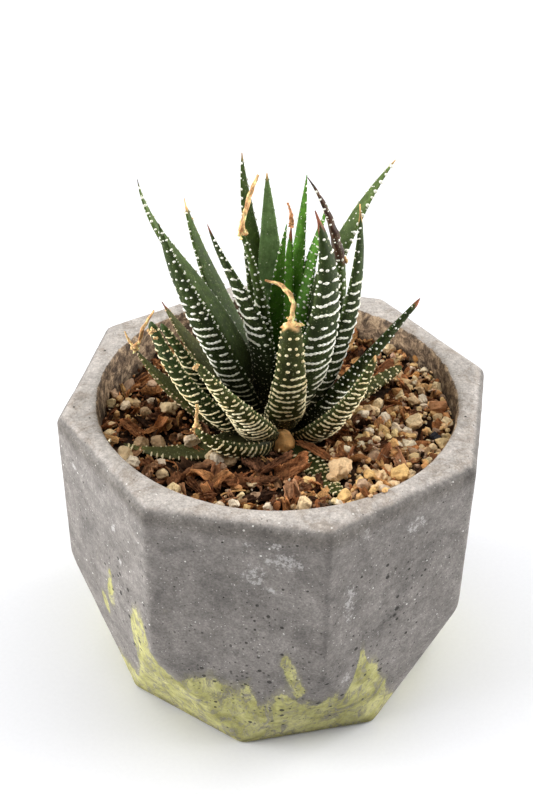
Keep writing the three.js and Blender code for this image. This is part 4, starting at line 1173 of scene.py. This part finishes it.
# Striking grains from the photograph: (column, row, radius in mm, colour). They lie on the soil.
WHITE, CREAM, BEIGE, GOLD = (0.87, 0.73, 0.54), (0.87, 0.65, 0.38), (0.78, 0.54, 0.3), (0.83, 0.54, 0.22)
TAN, ORANGE, RUST, PINKISH = (0.74, 0.45, 0.2), (0.74, 0.36, 0.12), (0.47, 0.22, 0.1), (0.87, 0.68, 0.47)
GREYISH, COAL = (0.55, 0.37, 0.21), (0.03, 0.031, 0.036)
PEBBLE = (283, 442, 3.1, (0.87, 0.47, 0.17))
GRAINS = [
    (192, 441, 2.3, PINKISH), (170, 409, 2.3, CREAM), (162, 474, 1.8, CREAM), (217, 460, 2.2, WHITE),
    (210, 456, 1.6, CREAM), (229, 460, 1.7, BEIGE), (252, 483, 1.4, CREAM), (256, 480, 0.9, TAN),
    (179, 472, 0.9, CREAM), (175, 488, 1.0, GOLD), (124, 456, 2.3, CREAM), (132, 463, 2.3, WHITE),
    (220, 505, 1.2, WHITE), (234, 504, 1.5, WHITE), (268, 506, 1.2, WHITE), (304, 505, 2.1, CREAM),
    (120, 398, 1.2, TAN), (126, 406, 1.5, PINKISH), (137, 404, 1.4, BEIGE), (151, 401, 1.4, PINKISH),
    (146, 412, 1.8, GREYISH), (115, 414, 1.6, TAN), (136, 420, 1.4, TAN), (158, 442, 2.3, GREYISH),
    (141, 444, 2.0, GREYISH), (157, 400, 0.8, ORANGE), (128, 417, 1.0, GOLD), (112, 424, 1.1, BEIGE),
    (339, 471, 3.1, BEIGE), (345, 463, 1.5, CREAM), (332, 477, 1.5, BEIGE), (339, 445, 1.6, TAN),
    (365, 466, 0.8, CREAM), (369, 475, 1.5, GOLD), (361, 483, 1.3, GOLD), (380, 485, 1.2, CREAM),
    (393, 486, 1.7, CREAM), (400, 475, 2.4, GOLD), (410, 475, 1.4, CREAM), (409, 465, 1.1, GOLD),
    (433, 447, 1.3, CREAM), (431, 455, 1.0, GOLD), (344, 497, 2.0, GOLD), (351, 504, 1.2, GOLD),
    (360, 497, 1.2, TAN), (372, 491, 1.1, GOLD), (375, 411, 1.6, CREAM), (383, 419, 1.8, WHITE),
    (370, 431, 1.2, WHITE), (376, 439, 1.2, CREAM), (369, 411, 1.9, BEIGE), (378, 404, 1.8, CREAM),
    (393, 415, 1.0, GOLD), (396, 429, 1.6, PINKISH), (407, 431, 1.3, WHITE), (414, 424, 2.3, CREAM),
    (413, 401, 2.1, BEIGE), (403, 398, 1.1, CREAM), (423, 400, 1.6, WHITE), (438, 409, 2.6, RUST),
    (416, 375, 1.3, ORANGE), (419, 357, 1.2, ORANGE), (425, 387, 1.3, TAN), (431, 386, 1.0, TAN),
    (411, 367, 0.8, WHITE), (388, 349, 1.9, CREAM), (375, 356, 1.7, RUST), (350, 348, 1.5, TAN),
    (342, 359, 1.3, TAN), (434, 435, 1.2, COAL), (438, 438, 1.1, COAL), (386, 432, 1.0, GOLD),
    (401, 440, 1.0, TAN), (388, 424, 0.9, GOLD), (420, 415, 1.0, GOLD), (365, 400, 1.2, CREAM),
]
# Large chips: (x, y, z, half length, half width, thickness, turn in degrees, colour, curl, leans in degrees).
RED_BARK, BROWN_BARK, DARK_BARK = (0.5, 0.21, 0.085), (0.36, 0.155, 0.07), (0.22, 0.1, 0.052)
CHIPS = [
    (-37.1, -14.7, 80, 4.4, 1.9, 0.9, -28, RED_BARK, 0.7, 12, 18),
    (-18.7, -33.2, 81.4, 4.6, 2.4, 1.2, 62, BROWN_BARK, 0.7, -24, 14),
    (-9.6, -34, 82, 5, 2.3, 1.1, 100, BROWN_BARK, -0.9, 30, -16),
    (9.2, -27.2, 83, 5.2, 3.6, 1, 20, RED_BARK, 0.9, 20, -28),
    (4.6, -25, 83.2, 5.6, 1.1, 1.1, 52, (0.33, 0.145, 0.07), 0.8, 10, -8),
    (2.2, -31.2, 82.5, 4.6, 1.4, 1, 36, BROWN_BARK, -0.8, -22, 10),
    (-1.6, -26, 82.3, 3.4, 2.4, 1.2, 140, DARK_BARK, 0.6, 22, 20),
    (11.5, -34, 82.7, 4, 2.8, 0.9, 75, BROWN_BARK, 1.2, -40, 10),
    (13.6, -17.6, 82.7, 5.4, 1.2, 1, -24, RED_BARK, 0.5, 8, 10),
    (19, -17.4, 82.6, 3.6, 1.5, 0.9, -52, RED_BARK, 0.6, 20, -14),
    (29.9, -12.2, 82.7, 6.6, 1.1, 1.3, 30, DARK_BARK, 0.3, 12, -6),
    (27.5, -9.2, 82.5, 5.2, 0.9, 1, 22, BROWN_BARK, 0.3, -10, 8),
    (34, -15.6, 82.8, 3.6, 2.2, 1, 8, (0.3, 0.19, 0.12), 0.5, 16, 8),
    (24, -15, 82.4, 3, 1.8, 1, -30, (0.4, 0.19, 0.07), 0.8, -20, 14),
    (33, 11.6, 82, 3.6, 3, 1.6, 20, (0.33, 0.14, 0.06), 0.5, 18, -10),
    (23, 10, 81.6, 3.2, 2.6, 1.5, 60, BROWN_BARK, 0.6, 24, 8),
    (-27, -30.5, 81.3, 3.2, 1.6, 0.9, -20, BROWN_BARK, 0.6, 20, 16),
    (2, -43.4, 82.9, 4.2, 1.1, 0.8, 4, (0.5, 0.22, 0.075), 0.2, 16, 4),
    (7.2, -40.4, 82.5, 3.4, 2, 0.9, 50, DARK_BARK, 0.9, -26, 20),
    (19.6, -41, 83, 4.2, 1.7, 0.8, 8, (0.22, 0.13, 0.085), 0.4, 12, 6),
    (28, -35.6, 83.2, 4.6, 1.2, 0.8, 36, (0.3, 0.17, 0.1), 0.3, 14, -6),
    (-44.3, -12.3, 79.2, 3.4, 0.8, 0.9, 70, RED_BARK, 0.3, 8, 10),
    (-12, -41, 81.9, 3.6, 1.2, 0.9, 20, BROWN_BARK, 0.6, 20, -12),
    (-14.5, -36.6, 81.8, 3.4, 1.1, 1, -40, BROWN_BARK, 0.5, 30, 8),
    (-17.5, -20.6, 80.9, 3, 0.8, 0.8, -35, RED_BARK, 0.4, 10, 10),
    (16.4, -28.6, 82.6, 3.2, 1.8, 1, 96, DARK_BARK, -0.9, 30, 12),
    (-31, -8.6, 79.8, 3.4, 1.9, 1.2, 15, DARK_BARK, 0.6, 14, 20),
    (-36, -2.5, 79.4, 2.8, 1.8, 1.2, 80, BROWN_BARK, 0.6, 20, 10),
    (21, -9.4, 82, 2.8, 2.2, 1.4, 10, (0.3, 0.12, 0.05), 0.7, 30, 12),
    (38.6, 3.4, 82.2, 3, 2, 1.3, 40, BROWN_BARK, 0.5, 14, 20),
]
# Grains on the rim: (x, y, radius).
RIM_GRAINS = [(33.5, -37.2, 0.9), (30.5, -39.8, 0.7), (35.4, -34.0, 0.5), (-38.0, -31.0, 0.5)]


def build_soil_pieces():
    rng = np.random.default_rng(SOIL_SEED)
    bark, chips = Heap("soil_bark", BARK), Heap("soil_chips", BARK)
    pumice, gravel, grit, crumbs, pebble = (Heap("soil_" + kind, GRAIN)
                                            for kind in ("pumice", "gravel", "grit", "crumbs", "pebble"))
    marked = [(*photo_spot(column, row), radius, tint) for column, row, radius, tint in GRAINS + [PEBBLE]]

    def spot(reach, inner=0.02):
        radius = reach * math.sqrt(rng.uniform(inner, 1))
        turn = rng.uniform(0, 2 * math.pi)
        return radius * math.cos(turn), radius * math.sin(turn)

    def tone(tones):
        base = np.array(tones[int(rng.integers(len(tones)))])
        base = base * rng.uniform(0.8, 1.3) * rng.uniform(0.97, 1.03, 3)
        return base * min(1.0, BRIGHTEST / base.max())

    def clear(x, y, stem, leaf):
        return math.hypot(x - PLANT[0], y - PLANT[1]) > stem and not near_low_leaf(x, y, leaf)

    def between(low, high):
        return lambda x, y: rng.uniform(low, high)

    def scatter(count, reach, draw_size, stem, leaf_share, mark_gap, mark_share=0):
        """Finds free places one by one, with room for the size that draw_size gives, unless it is None."""
        placed = 0
        while placed < count:
            x, y = spot(reach)
            size = draw_size(x, y)
            if size and clear(x, y, stem, leaf_share * size) and all(
                    math.hypot(x - m[0], y - m[1]) > m[2] + (mark_gap + mark_share * size) for m in marked):
                yield x, y, size
                placed += 1

    def put_flake(heap, x, y, long, tilt, lift, size, width=(0.25, 0.7), thick=(0.5, 1.3)):
        wide = long * rng.uniform(*width)
        shape = long, wide, rng.uniform(*thick), rng.uniform(-1.1, 1.1)
        points, quads, grain, pale = flake(rng, *shape, *size)
        points = points @ spin(rng, tilt).T + (x, y, soil_height(x, y) + lift)
        # The chip's tone carries its painted highlight and shade.
        heap.add(keep_inside(points), quads, tone(BARK_TONES) * pale, grain)

    def pumice_radius(x, y):
        """Pumice and gravel lie thicker towards the right and along the wall."""
        share = 0.07 + 0.93 * smoothstep(6, 30, x * 0.98 - y * 0.18)
        if rng.uniform() > max(share, smoothstep(38, 47, math.hypot(x, y)) * 0.3):
            return None
        return rng.uniform(0.65, 1.3) if rng.uniform() < 0.75 else rng.uniform(1.3, 2.1)

    for x, y, long in scatter(BARK_COUNT, 45.5, between(2.6, 5.2), 9, 0.6, 0, 0.45):
        put_flake(bark, x, y, long, 0.75, rng.uniform(0.0, 1.7), (7, 11))
    for x, y, long in scatter(CHIP_COUNT, 47.0, between(1.2, 3.0), 6, 0.5, 0.2):
        put_flake(chips, x, y, long, 1.2, rng.uniform(-0.2, 1.5), (5, 6), (0.2, 0.8), (0.3, 0.8))
    for x, y, radius in scatter(PUMICE_COUNT, 47.4, pumice_radius, 5, 1, 0.3):
        points, faces = stone(rng, radius, 2, 0.22)
        points = points + (x, y, soil_height(x, y) + rng.uniform(0.0, 1.4) + 0.2 * radius)
        pumice.add(keep_inside(points), faces, tone(GRAIN_TONES))
    for _ in range(GRIT_TRIES):
        x, y = spot(47.8, 0.0)
        radius = rng.uniform(0.2, 0.62)
        if not near_low_leaf(x, y, 0.3):
            points, faces = stone(rng, radius, 1, cuts=4)
            points = points * rng.uniform(0.7, 1.4, 3) + (x, y, soil_height(x, y) + rng.uniform(-0.4, 1.3))
            tones = GRAIN_TONES if rng.uniform() < 0.14 + 0.5 * smoothstep(0, 30, x) else BARK_TONES
            heap = grit if rng.uniform() < 0.5 else crumbs
            heap.add(keep_inside(points), faces, tone(tones))
    for x, y, radius, tint in marked[:-1]:
        points, faces = stone(rng, radius, 3, 0.16, 7, 0.6, 0.8)
        gravel.add(keep_inside(points + (x, y, soil_height(x, y) + 0.8 + 0.45 * radius)), faces, tint)
    for x, y, z, long, wide, thick, turn, tint, curl, lean_a, lean_b in CHIPS:
        points, quads, grain, pale = flake(rng, long, wide, thick, curl, 13, 19)
        matrix = rotation(*(math.radians(angle) for angle in (lean_a, lean_b, turn)))
        # The chip's tone carries its painted highlight and shade.
        bark.add(keep_inside(points @ matrix.T + (x, y, z - 0.4)), quads, tint * pale, grain)
    x, y, radius, tint = marked[-1]
    points, faces = stone(rng, radius, 3, 0.1, 3, 0.8, 0.94)
    pebble.add(points + (x, y, soil_height(x, y) + 0.6 + 0.35 * radius), faces, tint)
    for x, y, radius in RIM_GRAINS:
        points, faces = stone(rng, radius, 2)
        pumice.add(points + (x, y, POT_HEIGHT + 0.5 * radius), faces, tone(GRAIN_TONES[:5]))
    # Thin fibres and twigs.
    for _ in range(FIBRE_TRIES):
        x, y = spot(44)
        turn, reach, thin, lift, tilt = (rng.uniform(*span) for span in (
            (0, math.pi), (2.0, 5.5), (0.1, 0.26), (1.0, 1.9), (-1, 1)))
        if clear(x, y, 10, 2.5):
            s = np.linspace(-1, 1, 14)
            line = np.stack([x + s * reach * math.cos(turn) + 0.6 * np.sin(s * 3 + turn),
                             y + s * reach * math.sin(turn) + 0.6 * np.cos(s * 2.3),
                             soil_height(x, y) + lift + 0.5 * s * tilt], -1)
            points, quads, caps, _ = ragged_tube(line, np.full(14, thin), (1, 1, 1), rng, 6)
            faces = np.vstack([caps, quads[:, [0, 1, 2]], quads[:, [0, 2, 3]]])
            grit.add(keep_inside(points), faces, tone(BARK_TONES))
    for heap in (bark, chips, pumice, gravel, grit, crumbs, pebble):
        heap.build()


# ---------------------------------------------------------------- floor, light and camera


def add_object(name, data):
    obj = bpy.data.objects.new(name, data)
    bpy.context.scene.collection.objects.link(obj)
    return obj


def build_camera():
    data = bpy.data.cameras.new("camera")
    data.sensor_width = 36
    data.lens = FOCAL_PIXELS / PHOTO_HEIGHT * 36
    data.clip_start = 0.01
    camera = add_object("camera", data)
    camera.location = VIEW_PLACE * MM
    camera.rotation_mode = "QUATERNION"
    camera.rotation_quaternion = Matrix(np.stack(VIEW_AXES, 1).tolist()).to_quaternion()
    bpy.context.scene.camera = camera


def area_light(name, place, target, size, power):
    data = bpy.data.lights.new(name, "AREA")
    data.shape = "RECTANGLE"
    data.size, data.size_y = size
    data.energy = power
    light = add_object(name, data)
    light.location = turned(*place)
    light.visible_camera = False
    light.rotation_mode = "QUATERNION"
    light.rotation_quaternion = (Vector(turned(*target)) - light.location).to_track_quat("-Z", "Y")


def build_stage():
    n = Nodes("floor_white")
    color = n.ramp(n.noise(900, 3, 0.5), (0.3, (0.84, 0.845, 0.872)), (0.7, (0.86, 0.865, 0.892)))
    n.finish(color, 0.7, None, 0.2)
    mesh = bpy.data.meshes.new("floor")
    corners = [(x * FLOOR_HALF, y * FLOOR_HALF, 0) for x, y in ((-1, -1), (1, -1), (1, 1), (-1, 1))]
    mesh.from_pydata(corners, [], [(0, 1, 2, 3)])
    mesh.materials.append(n.material)
    add_object("floor", mesh)
    world = bpy.data.worlds.new("studio")
    world.use_nodes = True
    background = world.node_tree.nodes["Background"]
    background.inputs["Color"].default_value = (1, 1, 1, 1)
    background.inputs["Strength"].default_value = WORLD_STRENGTH
    bpy.context.scene.world = world
    for light in LIGHTS:
        area_light(*light)
    view = bpy.context.scene.view_settings
    view.view_transform = "Standard"
    view.look = "None"
    view.exposure = 0.0
    view.gamma = 1.0


build_camera()
build_stage()
build_pot()
build_stem()
build_leaves()
build_soil_base()
build_soil_pieces()

bpy.context.view_layer.update()
